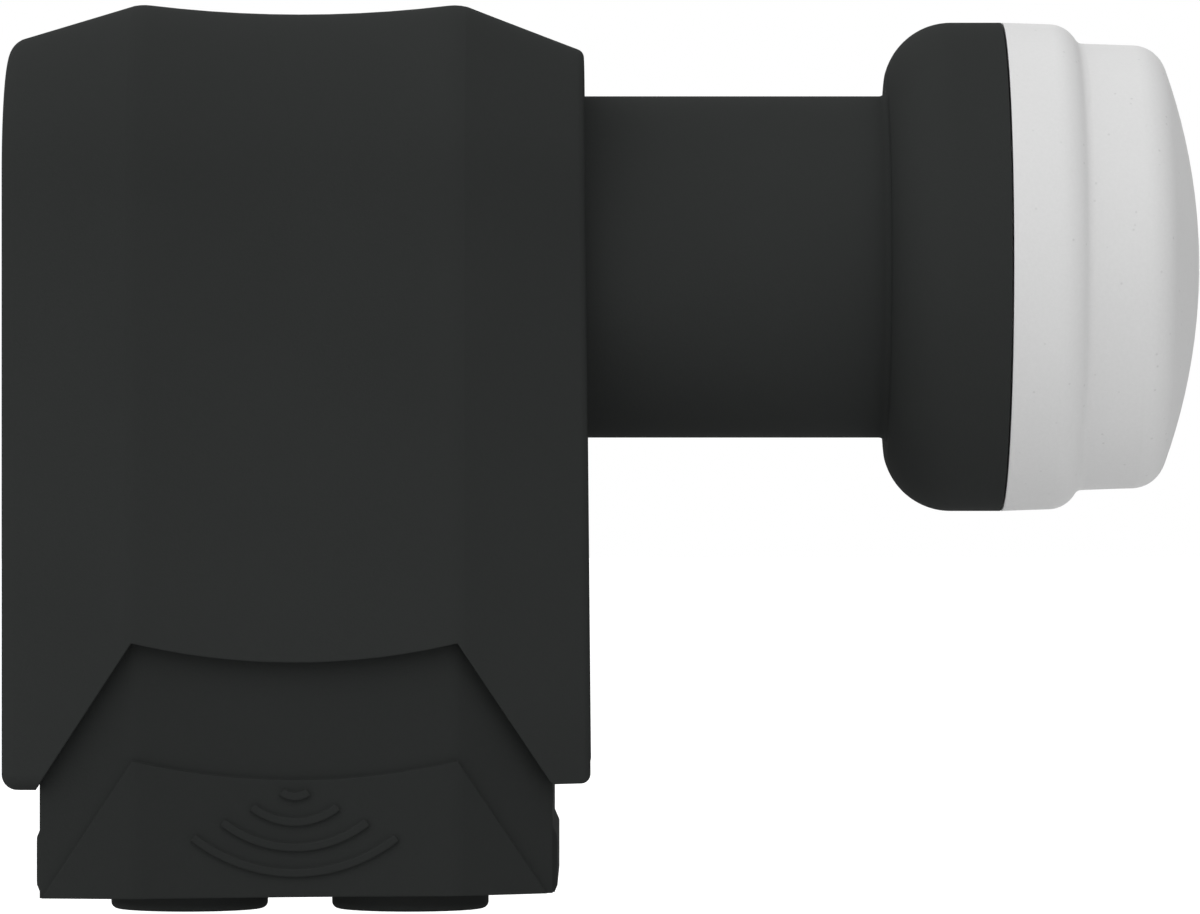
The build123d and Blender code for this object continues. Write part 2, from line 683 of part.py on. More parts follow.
with BuildPart() as chassis:
    with BuildSketch(Plane.YZ.offset(chassis_rear_x)):
        with Locations((0, chassis_bottom)):
            box_height = chassis_top - chassis_bottom
            box = Rectangle(2 * chassis_half_width, box_height, align=(Align.CENTER, Align.MIN))
        fillet(box.vertices().group_by(Axis.Y)[-1], chassis_edge_round)
    extrude(amount=chassis_front_x - chassis_rear_x)
    with BuildSketch(Plane.YZ.offset(chassis_rear_x)):
        with Locations((0, chassis_bottom)):
            Rectangle(
                2 * chassis_inner_half_width,
                chassis_inner_top - chassis_bottom,
                align=(Align.CENTER, Align.MIN),
            )
        fillet(vertices().group_by(Axis.Y)[-1], chassis_edge_round - chassis_wall)
    extrude(amount=chassis_inner_front_x - chassis_rear_x, mode=Mode.SUBTRACT)
    with BuildSketch(Plane.XY.offset(chassis_bottom)):
        with Locations((posts_middle_x, 0)):
            with GridLocations(posts_spacing_x, 2 * post_y, 2, 2):
                Rectangle(post_size, post_size)
    extrude(amount=post_height)
    with BuildSketch(Plane.YZ.offset(chassis_rear_x)):
        with Locations((0, lid_posts_middle_z)):
            with GridLocations(2 * post_y, lid_posts_spacing_z, 2, 2):
                Rectangle(post_size, post_size)
    extrude(amount=post_height)
    with BuildSketch(Plane.XZ):
        with BuildLine():
            Polyline((chassis_front_x, 0), (chassis_front_x, tube_radius), (tube_front_x, tube_radius),
                     (tube_front_x, 0), close=True)
        make_face()
        with Locations((front_ring_x, ring_radius / 2), (rear_ring_x, ring_radius / 2)):
            Rectangle(tube_ring_width, ring_radius)
        with Locations((front_ring_x, groove_radius)):
            Rectangle(2 * groove_half, ring_radius, align=(Align.CENTER, Align.MIN), mode=Mode.SUBTRACT)
    revolve(axis=Axis.X)
    with BuildSketch(Plane.YZ.offset(chassis_inner_front_x)):
        Circle(tube_bore_radius)
    extrude(amount=tube_front_x - chassis_inner_front_x, mode=Mode.SUBTRACT)
    with BuildSketch(Plane.XY.offset(chassis_bottom)):
        with Locations((posts_middle_x, 0)):
            with GridLocations(posts_spacing_x, 2 * post_y, 2, 2):
                Circle(screw_radius + thread_clearance)
    extrude(amount=screw_length - plate_thickness, mode=Mode.SUBTRACT)
    with BuildSketch(Plane.YZ.offset(chassis_rear_x)):
        with Locations((0, lid_posts_middle_z)):
            with GridLocations(2 * post_y, lid_posts_spacing_z, 2, 2):
                Circle(screw_radius + thread_clearance)
    extrude(amount=screw_length, mode=Mode.SUBTRACT)
    with BuildSketch(Plane.YZ.offset(chassis_inner_front_x)):
        with Locations((0, backshort_middle_z)):
            with GridLocations(2 * backshort_screw_y, backshort_screws_spacing_z, 2, 2):
                Circle(screw_radius + thread_clearance)
    extrude(amount=chassis_front_wall - 2 * fit_clearance, mode=Mode.SUBTRACT)
chassis.part.label = "chassis"
export_step(chassis.part, "parts/chassis.step")

# Rear lid and its gasket, with recesses for the screw heads
lid_front_x = lid_rear_x + lid_thickness
head_recess = screw_head_height + thread_clearance


def rear_outline():
    """Draw the outline of the chassis's open rear into the open sketch."""
    with Locations((0, chassis_bottom)):
        Rectangle(2 * chassis_half_width, chassis_top - chassis_bottom, align=(Align.CENTER, Align.MIN))
    fillet(vertices().group_by(Axis.Y)[-1], chassis_edge_round)


with BuildPart() as rear_lid:
    with BuildSketch(Plane.YZ.offset(lid_rear_x)):
        rear_outline()
        with Locations((0, lid_posts_middle_z)):
            with GridLocations(2 * post_y, lid_posts_spacing_z, 2, 2):
                Circle(screw_radius + fit_clearance, mode=Mode.SUBTRACT)
    extrude(amount=lid_thickness)
    with BuildSketch(Plane.YZ.offset(lid_rear_x)):
        with Locations((0, lid_posts_middle_z)):
            with GridLocations(2 * post_y, lid_posts_spacing_z, 2, 2):
                Circle(screw_head_radius + fit_clearance)
    extrude(amount=head_recess, mode=Mode.SUBTRACT)
rear_lid.part.label = "rear_lid"
export_step(rear_lid.part, "parts/rear_lid.step")

with BuildPart() as lid_gasket:
    with BuildSketch(Plane.YZ.offset(lid_front_x)):
        rear_outline()
        gasket_bottom = chassis_bottom + chassis_wall
        with Locations((0, gasket_bottom)):
            Rectangle(
                2 * chassis_inner_half_width - 2 * post_size,
                chassis_inner_top - gasket_bottom,
                align=(Align.CENTER, Align.MIN),
                mode=Mode.SUBTRACT,
            )
        with Locations((0, lid_posts_middle_z)):
            with GridLocations(2 * post_y, lid_posts_spacing_z, 2, 2):
                Circle(screw_radius + fit_clearance, mode=Mode.SUBTRACT)
    extrude(amount=gasket_thickness)
lid_gasket.part.label = "lid_gasket"
export_step(lid_gasket.part, "parts/lid_gasket.step")

with BuildPart() as lid_screws:
    head_x = lid_rear_x + thread_clearance
    with BuildSketch(Plane.YZ.offset(head_x)):
        with Locations((0, lid_posts_middle_z)):
            with GridLocations(2 * post_y, lid_posts_spacing_z, 2, 2):
                Circle(screw_head_radius)
    extrude(amount=screw_head_height)
    with BuildSketch(Plane.YZ.offset(head_x)):
        with Locations((0, lid_posts_middle_z)):
            with GridLocations(2 * post_y, lid_posts_spacing_z, 2, 2):
                Circle(screw_radius)
    extrude(amount=screw_length)
lid_screws.part.label = "lid_screws"
export_step(lid_screws.part, "parts/lid_screws.step")

# Connector plate and its gasket, with standoffs for the output board and holes for the outputs
plate_middle_x = (chassis_rear_x + chassis_front_x) / 2
plate_length = chassis_front_x - chassis_rear_x
output_rear_x = rear_post_x + post_half + board_margin
output_front_x = front_post_x - post_half - board_margin
header_back = output_front_x - body_x - header_length - header_gap
standoff_side = port_row_half + standoff_outset
standoff_end = header_back - screw_head_radius
standoff_places = (
    (body_x, standoff_side),
    (body_x, -standoff_side),
    (body_x - standoff_end, 0),
    (body_x + standoff_end, 0),
)
with BuildPart() as connector_plate:
    with BuildSketch(Plane.XY.offset(plate_bottom)):
        with Locations((plate_middle_x, 0)):
            Rectangle(plate_length, 2 * chassis_half_width)
    extrude(amount=plate_thickness)
    with BuildSketch(Plane.XY.offset(plate_bottom)):
        with Locations(*standoff_places):
            Circle(standoff_radius)
    extrude(amount=output_board_bottom - plate_bottom)
    with BuildSketch(Plane.XY.offset(plate_bottom)):
        with Locations((body_x, 0)):
            with GridLocations(port_pitch, port_row_pitch, 2, 2):
                Circle(connector_stub_radius + thread_clearance)
        with Locations((posts_middle_x, 0)):
            with GridLocations(posts_spacing_x, 2 * post_y, 2, 2):
                Circle(screw_radius + fit_clearance)
    extrude(amount=plate_thickness, mode=Mode.SUBTRACT)
    with BuildSketch(Plane.XY.offset(output_board_bottom)):
        with Locations(*standoff_places):
            Circle(screw_radius + thread_clearance)
    extrude(amount=-screw_length, mode=Mode.SUBTRACT)
connector_plate.part.label = "connector_plate"
export_step(connector_plate.part, "parts/connector_plate.step")

with BuildPart() as plate_gasket:
    with BuildSketch(Plane.XY.offset(plate_top)):
        with Locations((plate_middle_x, 0)):
            Rectangle(plate_length, 2 * chassis_half_width)
            gasket_opening = plate_length - 2 * chassis_front_wall
            Rectangle(gasket_opening, 2 * chassis_inner_half_width, mode=Mode.SUBTRACT)
        with Locations((posts_middle_x, 0)):
            with GridLocations(posts_spacing_x, 2 * post_y, 2, 2):
                Rectangle(post_size, post_size)
                Circle(screw_radius + fit_clearance, mode=Mode.SUBTRACT)
    extrude(amount=gasket_thickness)
plate_gasket.part.label = "plate_gasket"
export_step(plate_gasket.part, "parts/plate_gasket.step")

with BuildPart() as plate_screws:
    with BuildSketch(Plane.XY.offset(plate_bottom)):
        with Locations((posts_middle_x, 0)):
            with GridLocations(posts_spacing_x, 2 * post_y, 2, 2):
                Circle(screw_head_radius)
    extrude(amount=-screw_head_height)
    with BuildSketch(Plane.XY.offset(plate_bottom)):
        with Locations((posts_middle_x, 0)):
            with GridLocations(posts_spacing_x, 2 * post_y, 2, 2):
                Circle(screw_radius)
    extrude(amount=screw_length)
plate_screws.part.label = "plate_screws"
export_step(plate_screws.part, "parts/plate_screws.step")

# Receiver board behind the waveguide, its probes and the backshort cover that holds it
with BuildPart() as receiver_board:
    with BuildSketch(Plane.YZ.offset(receiver_rear_x)):
        receiver_height = backshort_top_z - output_board_bottom
        with Locations((0, output_board_bottom)):
            Rectangle(2 * board_half_width, receiver_height, align=(Align.CENTER, Align.MIN))
        with Locations((0, backshort_middle_z)):
            with GridLocations(2 * backshort_screw_y, backshort_screws_spacing_z, 2, 2):
                Circle(screw_radius + fit_clearance, mode=Mode.SUBTRACT)
        fillet(vertices().group_by(Axis.Y)[-1], chassis_edge_round - chassis_wall)
    extrude(amount=board_thickness)
receiver_board.part.label = "receiver_board"
export_step(receiver_board.part, "parts/receiver_board.step")

with BuildPart() as probe_strips:
    with BuildSketch(Plane.YZ.offset(receiver_front_x)):
        probe_middle = tube_bore_radius - probe_width / 2 - probe_length / 2
        with Locations((0, -probe_middle)):
            Rectangle(probe_width, probe_length)
        with Locations((-probe_middle, 0)):
            Rectangle(probe_length, probe_width)
    extrude(amount=probe_thickness)
probe_strips.part.label = "probe_strips"
export_step(probe_strips.part, "parts/probe_strips.step")

with BuildPart() as backshort_cover:
    with BuildSketch(Plane.YZ.offset(backshort_rear_x)):
        with Locations((0, backshort_middle_z)):
            RectangleRounded(2 * backshort_half_width, backshort_height, screw_head_radius)
            with GridLocations(2 * backshort_screw_y, backshort_screws_spacing_z, 2, 2):
                Circle(screw_radius + fit_clearance, mode=Mode.SUBTRACT)
    extrude(amount=backshort_depth)
    with BuildSketch(Plane.YZ.offset(receiver_rear_x)):
        Circle(tube_bore_radius)
    extrude(amount=-backshort_cup_depth, mode=Mode.SUBTRACT)
backshort_cover.part.label = "backshort_cover"
export_step(backshort_cover.part, "parts/backshort_cover.step")

with BuildPart() as backshort_screws:
    backshort_screw_length = backshort_depth + board_thickness + chassis_front_wall - 3 * fit_clearance
    with BuildSketch(Plane.YZ.offset(backshort_rear_x)):
        with Locations((0, backshort_middle_z)):
            with GridLocations(2 * backshort_screw_y, backshort_screws_spacing_z, 2, 2):
                Circle(screw_head_radius)
    extrude(amount=-screw_head_height)
    with BuildSketch(Plane.YZ.offset(backshort_rear_x)):
        with Locations((0, backshort_middle_z)):
            with GridLocations(2 * backshort_screw_y, backshort_screws_spacing_z, 2, 2):
                Circle(screw_radius)
    extrude(amount=backshort_screw_length)
backshort_screws.part.label = "backshort_screws"
export_step(backshort_screws.part, "parts/backshort_screws.step")

with BuildPart() as receiver_chips:
    with BuildSketch(Plane.YZ.offset(receiver_rear_x)):
        with Locations((0, -chip_drop)):
            with GridLocations(chip_pitch_y, chip_pitch_z, 2, 2):
                Rectangle(chip_size, chip_size)
    extrude(amount=-chip_height)
receiver_chips.part.label = "receiver_chips"
export_step(receiver_chips.part, "parts/receiver_chips.step")

with BuildPart() as crystal:
    with BuildSketch(Plane.YZ.offset(receiver_rear_x)):
        with Locations((0, -chip_drop)):
            RectangleRounded(crystal_width, crystal_height, crystal_height / 4)
    extrude(amount=-chip_height)
crystal.part.label = "crystal"
export_step(crystal.part, "parts/crystal.step")

# Output board on the plate's standoffs, and what is soldered to it
regulator_x = header_back - regulator_length / 2
regulator_y = port_row_half - contact_radius - regulator_gap - regulator_width / 2
capacitor_x = regulator_x - regulator_length / 2 - capacitor_gap - capacitor_radius
capacitor_y = port_row_half - capacitor_inset
with BuildPart() as output_board:
    with BuildSketch(Plane.XY.offset(output_board_bottom)):
        with Locations(((output_rear_x + output_front_x) / 2, 0)):
            Rectangle(output_front_x - output_rear_x, 2 * board_half_width)
        with Locations(*standoff_places):
            Circle(screw_radius + fit_clearance, mode=Mode.SUBTRACT)
        with Locations((body_x, 0)):
            with GridLocations(port_pitch, port_row_pitch, 2, 2):
                Circle(contact_radius + fit_clearance, mode=Mode.SUBTRACT)
    extrude(amount=board_thickness)
output_board.part.label = "output_board"
export_step(output_board.part, "parts/output_board.step")

with BuildPart() as board_screws:
    with BuildSketch(Plane.XY.offset(output_board_top)):
        with Locations(*standoff_places):
            Circle(screw_head_radius)
    extrude(amount=screw_head_height)
    with BuildSketch(Plane.XY.offset(output_board_top)):
        with Locations(*standoff_places):
            Circle(screw_radius)
    extrude(amount=-screw_length)
board_screws.part.label = "board_screws"
export_step(board_screws.part, "parts/board_screws.step")

with BuildPart() as switch_chip:
    with BuildSketch(Plane.XY.offset(output_board_top)):
        with Locations((body_x, 0)):
            Rectangle(switch_chip_size, switch_chip_size)
    extrude(amount=switch_chip_height)
switch_chip.part.label = "switch_chip"
export_step(switch_chip.part, "parts/switch_chip.step")

with BuildPart() as regulators:
    with BuildSketch(Plane.XY.offset(output_board_top)):
        with Locations((body_x, 0)):
            with GridLocations(2 * regulator_x, 2 * regulator_y, 2, 2):
                Rectangle(regulator_length, regulator_width)
    extrude(amount=regulator_height)
regulators.part.label = "regulators"
export_step(regulators.part, "parts/regulators.step")

with BuildPart() as capacitors:
    with BuildSketch(Plane.XY.offset(output_board_top)):
        with Locations((body_x, 0)):
            with GridLocations(2 * capacitor_x, 2 * capacitor_y, 2, 2):
                Circle(capacitor_radius)
    extrude(amount=capacitor_height)
capacitors.part.label = "capacitors"
export_step(capacitors.part, "parts/capacitors.step")

with BuildPart() as header_block:
    with BuildSketch(Plane.XY.offset(output_board_top)):
        with Locations((output_front_x - header_length / 2, 0)):
            Rectangle(header_length, header_width)
    extrude(amount=header_height)
header_block.part.label = "header_block"
export_step(header_block.part, "parts/header_block.step")

with BuildPart() as header_pins:
    with BuildSketch(Plane.YZ.offset(output_front_x)):
        with Locations((0, output_board_top + header_height / 2)):
            with GridLocations(header_pin_pitch, 0, header_pin_count, 1):
                Rectangle(header_pin, header_pin)
    extrude(amount=receiver_rear_x - output_front_x)
header_pins.part.label = "header_pins"
export_step(header_pins.part, "parts/header_pins.step")

# Four F outputs: a body with a hexagon flange, an insulator, a centre contact and a flat seal
flange_top = plate_bottom - connector_seal_section
flange_bottom = flange_top - connector_hex_height
connector_end = flange_bottom - connector_length
stub_top = plate_top + connector_seal_section
port_places = [(body_x + side * port_half, row * port_row_half) for row in (-1, 1) for side in (-1, 1)]
for number, place in enumerate(port_places, start=1):
    with BuildPart() as connector_body:
        with BuildSketch(Plane.XY.offset(connector_end)):
            with Locations(place):
                Circle(connector_radius)
        extrude(amount=connector_length)
        with BuildSketch(Plane.XY.offset(flange_bottom)):
            with Locations(place):
                RegularPolygon(connector_hex / 2, 6, major_radius=False)
        extrude(amount=connector_hex_height)
        with BuildSketch(Plane.XY.offset(flange_top)):
            with Locations(place):
                Circle(connector_stub_radius)
        extrude(amount=stub_top - flange_top)
        with BuildSketch(Plane.XY.offset(connector_end)):
            with Locations(place):
                Circle(connector_bore_radius)
        extrude(amount=stub_top - connector_end, mode=Mode.SUBTRACT)
    connector_body.part.label = f"connector_body_{number}"
    export_step(connector_body.part, f"parts/connector_body_{number}.step")

    with BuildPart() as connector_insulator:
        with BuildSketch(Plane.XY.offset(connector_end + connector_seal_section)):
            with Locations(place):
                Circle(connector_bore_radius - thread_clearance)
                Circle(contact_radius + thread_clearance, mode=Mode.SUBTRACT)
        extrude(amount=stub_top - connector_end - connector_seal_section)
    connector_insulator.part.label = f"connector_insulator_{number}"
    export_step(connector_insulator.part, f"parts/connector_insulator_{number}.step")

    with BuildPart() as connector_contact:
        with BuildSketch(Plane.XY.offset(connector_end + contact_recess)):
            with Locations(place):
                Circle(contact_radius)
        extrude(amount=output_board_top + contact_rise - connector_end - contact_recess)
        with BuildSketch(Plane.XY.offset(connector_end + contact_recess)):
            with Locations(place):
                Circle(contact_radius / 2)
        extrude(amount=connector_length / 2, mode=Mode.SUBTRACT)
    connector_contact.part.label = f"connector_contact_{number}"
    export_step(connector_contact.part, f"parts/connector_contact_{number}.step")

    with BuildPart() as connector_seal:
        with BuildSketch(Plane.XY.offset(flange_top)):
            with Locations(place):
                Circle(connector_hex / 2)
                Circle(connector_stub_radius + thread_clearance, mode=Mode.SUBTRACT)
        extrude(amount=connector_seal_section)
    connector_seal.part.label = f"connector_seal_{number}"
    export_step(connector_seal.part, f"parts/connector_seal_{number}.step")
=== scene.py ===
# %% [markdown]
# # A satellite LNB with a sliding weather shroud
# The solids of the part come in as a fixed frame, in metres: +X runs along the neck and out of the feed
# cap, and +Z is up. This script gives them their finishes, adds the detail that the solids leave plain,
# and lights them.

# %% Load the frame and keep its box
import bpy
import bmesh
import json
import math
from mathutils import Matrix, Vector


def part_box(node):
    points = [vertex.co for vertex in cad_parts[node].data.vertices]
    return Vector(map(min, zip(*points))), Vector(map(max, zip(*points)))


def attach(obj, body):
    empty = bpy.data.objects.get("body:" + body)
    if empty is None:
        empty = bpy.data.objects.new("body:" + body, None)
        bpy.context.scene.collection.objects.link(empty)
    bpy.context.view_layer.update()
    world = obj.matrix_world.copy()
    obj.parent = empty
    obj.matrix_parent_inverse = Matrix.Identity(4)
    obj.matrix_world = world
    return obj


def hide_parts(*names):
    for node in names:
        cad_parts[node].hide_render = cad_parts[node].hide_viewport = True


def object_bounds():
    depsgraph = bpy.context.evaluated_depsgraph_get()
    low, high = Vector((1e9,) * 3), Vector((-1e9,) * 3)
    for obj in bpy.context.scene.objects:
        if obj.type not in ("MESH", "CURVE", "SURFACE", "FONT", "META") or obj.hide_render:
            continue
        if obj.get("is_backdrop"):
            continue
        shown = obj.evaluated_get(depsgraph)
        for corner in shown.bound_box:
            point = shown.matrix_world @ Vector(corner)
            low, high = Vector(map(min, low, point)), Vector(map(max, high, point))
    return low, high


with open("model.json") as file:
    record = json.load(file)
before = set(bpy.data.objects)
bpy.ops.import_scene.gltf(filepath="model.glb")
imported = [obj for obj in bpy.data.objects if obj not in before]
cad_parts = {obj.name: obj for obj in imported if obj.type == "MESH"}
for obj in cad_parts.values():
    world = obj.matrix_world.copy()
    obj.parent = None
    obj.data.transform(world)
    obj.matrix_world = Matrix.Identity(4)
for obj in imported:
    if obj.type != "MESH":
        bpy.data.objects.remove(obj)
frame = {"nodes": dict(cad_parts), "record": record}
cad_low, cad_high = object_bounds()
nodes = frame["nodes"]
record = frame["record"]
print("frame:", len(nodes), "nodes, box", [round(high - low, 4) for low, high in zip(cad_low, cad_high)])

# %% [markdown]
# ## The camera
# The photograph looks square on at the near side, from far enough that the round collar bulges only a
# little. A long lens at 0.9 m gives that. The scale comes from the 40 mm neck, which sets how wide the
# view is.

# %% Camera
IMAGE_WIDTH = 1200
PIXELS_PER_METRE = 8530.0
CAMERA_DISTANCE = 0.9
CAMERA_ALONG_NECK = -0.01544
CAMERA_UP = -0.02227
SENSOR_WIDTH = 36.0

camera_data = bpy.data.cameras.new("photo_camera")
camera_data.sensor_width = SENSOR_WIDTH
camera_data.lens = SENSOR_WIDTH * CAMERA_DISTANCE / (IMAGE_WIDTH / PIXELS_PER_METRE)
camera = bpy.data.objects.new("photo_camera", camera_data)
camera.location = (CAMERA_ALONG_NECK, -CAMERA_DISTANCE, CAMERA_UP)
camera.rotation_euler = (math.pi / 2, 0.0, 0.0)
bpy.context.collection.objects.link(camera)
bpy.context.scene.camera = camera
bpy.context.scene.view_settings.view_transform = "Standard"
print("camera: lens", round(camera_data.lens, 1), "mm")

# %% [markdown]
# ## Helpers for node trees
# Every finish here is a node tree, so a few small helpers keep the cells short. They add a node and set
# its fields, find the live socket of a Mix node, open a material around its Principled shader, start a
# shader group with named sockets, and place such a group in a material.


# %% Node helpers
def add_node(tree, kind, **fields):
    """Add one node of this kind and set its own fields."""
    node = tree.nodes.new(kind)
    for name, value in fields.items():
        setattr(node, name, value)
    return node


def live(sockets, name):
    """Return the socket of this name that the node's own setting switches on."""
    return next(socket for socket in sockets if socket.name == name and not socket.is_unavailable)


def two_tones(tree, first, second):
    """Add a mix between two linear colours and return its factor, its first colour and its result."""
    mix = add_node(tree, "ShaderNodeMix", data_type="RGBA")
    live(mix.inputs, "A").default_value = (*first, 1.0)
    live(mix.inputs, "B").default_value = (*second, 1.0)
    return live(mix.inputs, "Factor"), live(mix.inputs, "A"), live(mix.outputs, "Result")


def open_material(name):
    """Start a material and return its tree, its Principled shader and its Object coordinates."""
    material = bpy.data.materials.new(name)
    material.use_nodes = True
    tree = material.node_tree
    shader = tree.nodes["Principled BSDF"]
    place = add_node(tree, "ShaderNodeTexCoord").outputs["Object"]
    return material, tree, shader, place


def open_group(name, inputs, outputs):
    """Start a shader group with these named sockets and return its tree, its way in and its way out."""
    group = bpy.data.node_groups.new(name, "ShaderNodeTree")
    for socket_name, socket_type in inputs.items():
        group.interface.new_socket(socket_name, in_out="INPUT", socket_type=socket_type)
    for socket_name, socket_type in outputs.items():
        group.interface.new_socket(socket_name, in_out="OUTPUT", socket_type=socket_type)
    way_in = group.nodes.new("NodeGroupInput")
    way_out = group.nodes.new("NodeGroupOutput")
    return group, way_in.outputs, way_out.inputs


def place_group(tree, group, **values):
    """Put a shader group into a material and set its inputs."""
    node = tree.nodes.new("ShaderNodeGroup")
    node.node_tree = group
    for name, value in values.items():
        node.inputs[name.replace("_", " ")].default_value = value
    return node


# %% [markdown]
# ## Moulded grain
# Injection moulded plastic copies the spark-eroded skin of its steel tool: an even, very fine grain
# with no direction. One group makes that grain and a slow drift in tone, and each plastic places it
# with its own scale.

# %% Shader group: moulded grain
FLOAT = "NodeSocketFloat"
VECTOR = "NodeSocketVector"
GRAIN_DETAIL = 3.0
GRAIN_ROUGHNESS = 0.65
DRIFT_DETAIL = 2.0

moulded_grain, grain_in, grain_out = open_group(
    "moulded_grain",
    {"Place": VECTOR, "Grains per metre": FLOAT, "Drift per metre": FLOAT},
    {"Height": FLOAT, "Drift": FLOAT},
)
fine = add_node(moulded_grain, "ShaderNodeTexNoise")
fine.inputs["Detail"].default_value = GRAIN_DETAIL
fine.inputs["Roughness"].default_value = GRAIN_ROUGHNESS
slow = add_node(moulded_grain, "ShaderNodeTexNoise")
slow.inputs["Detail"].default_value = DRIFT_DETAIL
moulded_grain.links.new(grain_in["Place"], fine.inputs["Vector"])
moulded_grain.links.new(grain_in["Place"], slow.inputs["Vector"])
moulded_grain.links.new(grain_in["Grains per metre"], fine.inputs["Scale"])
moulded_grain.links.new(grain_in["Drift per metre"], slow.inputs["Scale"])
moulded_grain.links.new(fine.outputs["Fac"], grain_out["Height"])
moulded_grain.links.new(slow.outputs["Fac"], grain_out["Drift"])
print("shader group:", moulded_grain.name)

# %% [markdown]
# ## Soft edges
# No moulded or cast edge is perfectly sharp. The Bevel node bends the normal near an edge as a small
# radius would, so the edge catches a line of light. The same bend, compared with the true normal, tells
# where the edges are, and there a plastic is rubbed a little paler by handling.

# %% Shader group: soft edges
BEVEL_SAMPLES = 6
FLAT_LIKENESS = 1.0
EDGE_LIKENESS = 0.75

soft_edges, edge_in, edge_out = open_group(
    "soft_edges",
    {"Radius": FLOAT},
    {"Normal": VECTOR, "Edge": FLOAT},
)
bend = add_node(soft_edges, "ShaderNodeBevel", samples=BEVEL_SAMPLES)
surface = add_node(soft_edges, "ShaderNodeNewGeometry")
likeness = add_node(soft_edges, "ShaderNodeVectorMath", operation="DOT_PRODUCT")
bent = add_node(soft_edges, "ShaderNodeMapRange")
bent.inputs["From Min"].default_value = FLAT_LIKENESS
bent.inputs["From Max"].default_value = EDGE_LIKENESS
soft_edges.links.new(edge_in["Radius"], bend.inputs["Radius"])
soft_edges.links.new(bend.outputs["Normal"], likeness.inputs[0])
soft_edges.links.new(surface.outputs["True Normal"], likeness.inputs[1])
soft_edges.links.new(likeness.outputs["Value"], bent.inputs["Value"])
soft_edges.links.new(bend.outputs["Normal"], edge_out["Normal"])
soft_edges.links.new(bent.outputs["Result"], edge_out["Edge"])
print("shader group:", soft_edges.name)


# %% [markdown]
# ## Fine specks
# The cap's grey plastic has a sprinkle of tiny darker specks. Each Voronoi cell can hold one speck
# around its own point, and the cell's own random colour decides whether it does.

# %% Shader group: fine specks
fine_specks, speck_in, speck_out = open_group(
    "fine_specks",
    {"Place": VECTOR, "Cells per metre": FLOAT, "Reach": FLOAT, "Bare share": FLOAT},
    {"Speck": FLOAT},
)
cells = add_node(fine_specks, "ShaderNodeTexVoronoi")
speck_dot = add_node(fine_specks, "ShaderNodeMapRange")
speck_dot.inputs["From Max"].default_value = 0.0
chance = add_node(fine_specks, "ShaderNodeSeparateColor")
chosen = add_node(fine_specks, "ShaderNodeMath", operation="GREATER_THAN")
chosen_dot = add_node(fine_specks, "ShaderNodeMath", operation="MULTIPLY")
fine_specks.links.new(speck_in["Place"], cells.inputs["Vector"])
fine_specks.links.new(speck_in["Cells per metre"], cells.inputs["Scale"])
fine_specks.links.new(cells.outputs["Distance"], speck_dot.inputs["Value"])
fine_specks.links.new(speck_in["Reach"], speck_dot.inputs["From Min"])
fine_specks.links.new(cells.outputs["Color"], chance.inputs["Color"])
fine_specks.links.new(chance.outputs["Red"], chosen.inputs[0])
fine_specks.links.new(speck_in["Bare share"], chosen.inputs[1])
fine_specks.links.new(speck_dot.outputs["Result"], chosen_dot.inputs[0])
fine_specks.links.new(chosen.outputs["Value"], chosen_dot.inputs[1])
fine_specks.links.new(chosen_dot.outputs["Value"], speck_out["Speck"])
print("shader group:", fine_specks.name)


# %% [markdown]
# ## The plastics
# The housing is a dull black with a trace of green, and the cap a light grey. The shroud has the same
# black painted slightly darker: painted shade for the shroud, which sits deeper, below the hood's edge.
# All are the same recipe: the grain drives the bump and the roughness, the grain and the drift move the
# colour a little, and the edges are slightly paler. Only the numbers differ, so one function makes them
# all, and a second one sprinkles specks.


# %% Plastic finishes
DRIFT_PER_METRE = 45.0
PLASTIC_EDGE_RADIUS = 0.00035
GRAIN_BUMP = 0.6
EVEN_SHARE = 0.5


def moulded_plastic(name, dark, pale, edge_tone, grains, grain_depth, smooth, rough, gloss):
    """Make a moulded plastic: two drifting tones, a fine grain in bump and roughness, and rubbed edges."""
    material, tree, shader, place = open_material(name)
    grain = place_group(tree, moulded_grain, Grains_per_metre=grains, Drift_per_metre=DRIFT_PER_METRE)
    edges = place_group(tree, soft_edges, Radius=PLASTIC_EDGE_RADIUS)
    tone_factor, _, tone = two_tones(tree, dark, pale)
    wear_factor, wear_base, worn = two_tones(tree, pale, edge_tone)
    wear = add_node(tree, "ShaderNodeMath", operation="MULTIPLY")
    blend = add_node(tree, "ShaderNodeMath", operation="MULTIPLY_ADD")
    blend.inputs[1].default_value = EVEN_SHARE
    sheen = add_node(tree, "ShaderNodeMapRange")
    sheen.inputs["To Min"].default_value = smooth
    sheen.inputs["To Max"].default_value = rough
    bump = add_node(tree, "ShaderNodeBump")
    bump.inputs["Strength"].default_value = GRAIN_BUMP
    bump.inputs["Distance"].default_value = grain_depth
    half = add_node(tree, "ShaderNodeMath", operation="MULTIPLY")
    half.inputs[1].default_value = EVEN_SHARE
    tree.links.new(place, grain.inputs["Place"])
    tree.links.new(grain.outputs["Drift"], half.inputs[0])
    tree.links.new(grain.outputs["Height"], blend.inputs[0])
    tree.links.new(half.outputs["Value"], blend.inputs[2])
    tree.links.new(blend.outputs["Value"], tone_factor)
    tree.links.new(edges.outputs["Edge"], wear.inputs[0])
    tree.links.new(grain.outputs["Drift"], wear.inputs[1])
    tree.links.new(wear.outputs["Value"], wear_factor)
    tree.links.new(tone, wear_base)
    tree.links.new(worn, shader.inputs["Base Color"])
    tree.links.new(grain.outputs["Height"], sheen.inputs["Value"])
    tree.links.new(sheen.outputs["Result"], shader.inputs["Roughness"])
    tree.links.new(grain.outputs["Height"], bump.inputs["Height"])
    tree.links.new(edges.outputs["Normal"], bump.inputs["Normal"])
    tree.links.new(bump.outputs["Normal"], shader.inputs["Normal"])
    shader.inputs["Specular IOR Level"].default_value = gloss
    return material


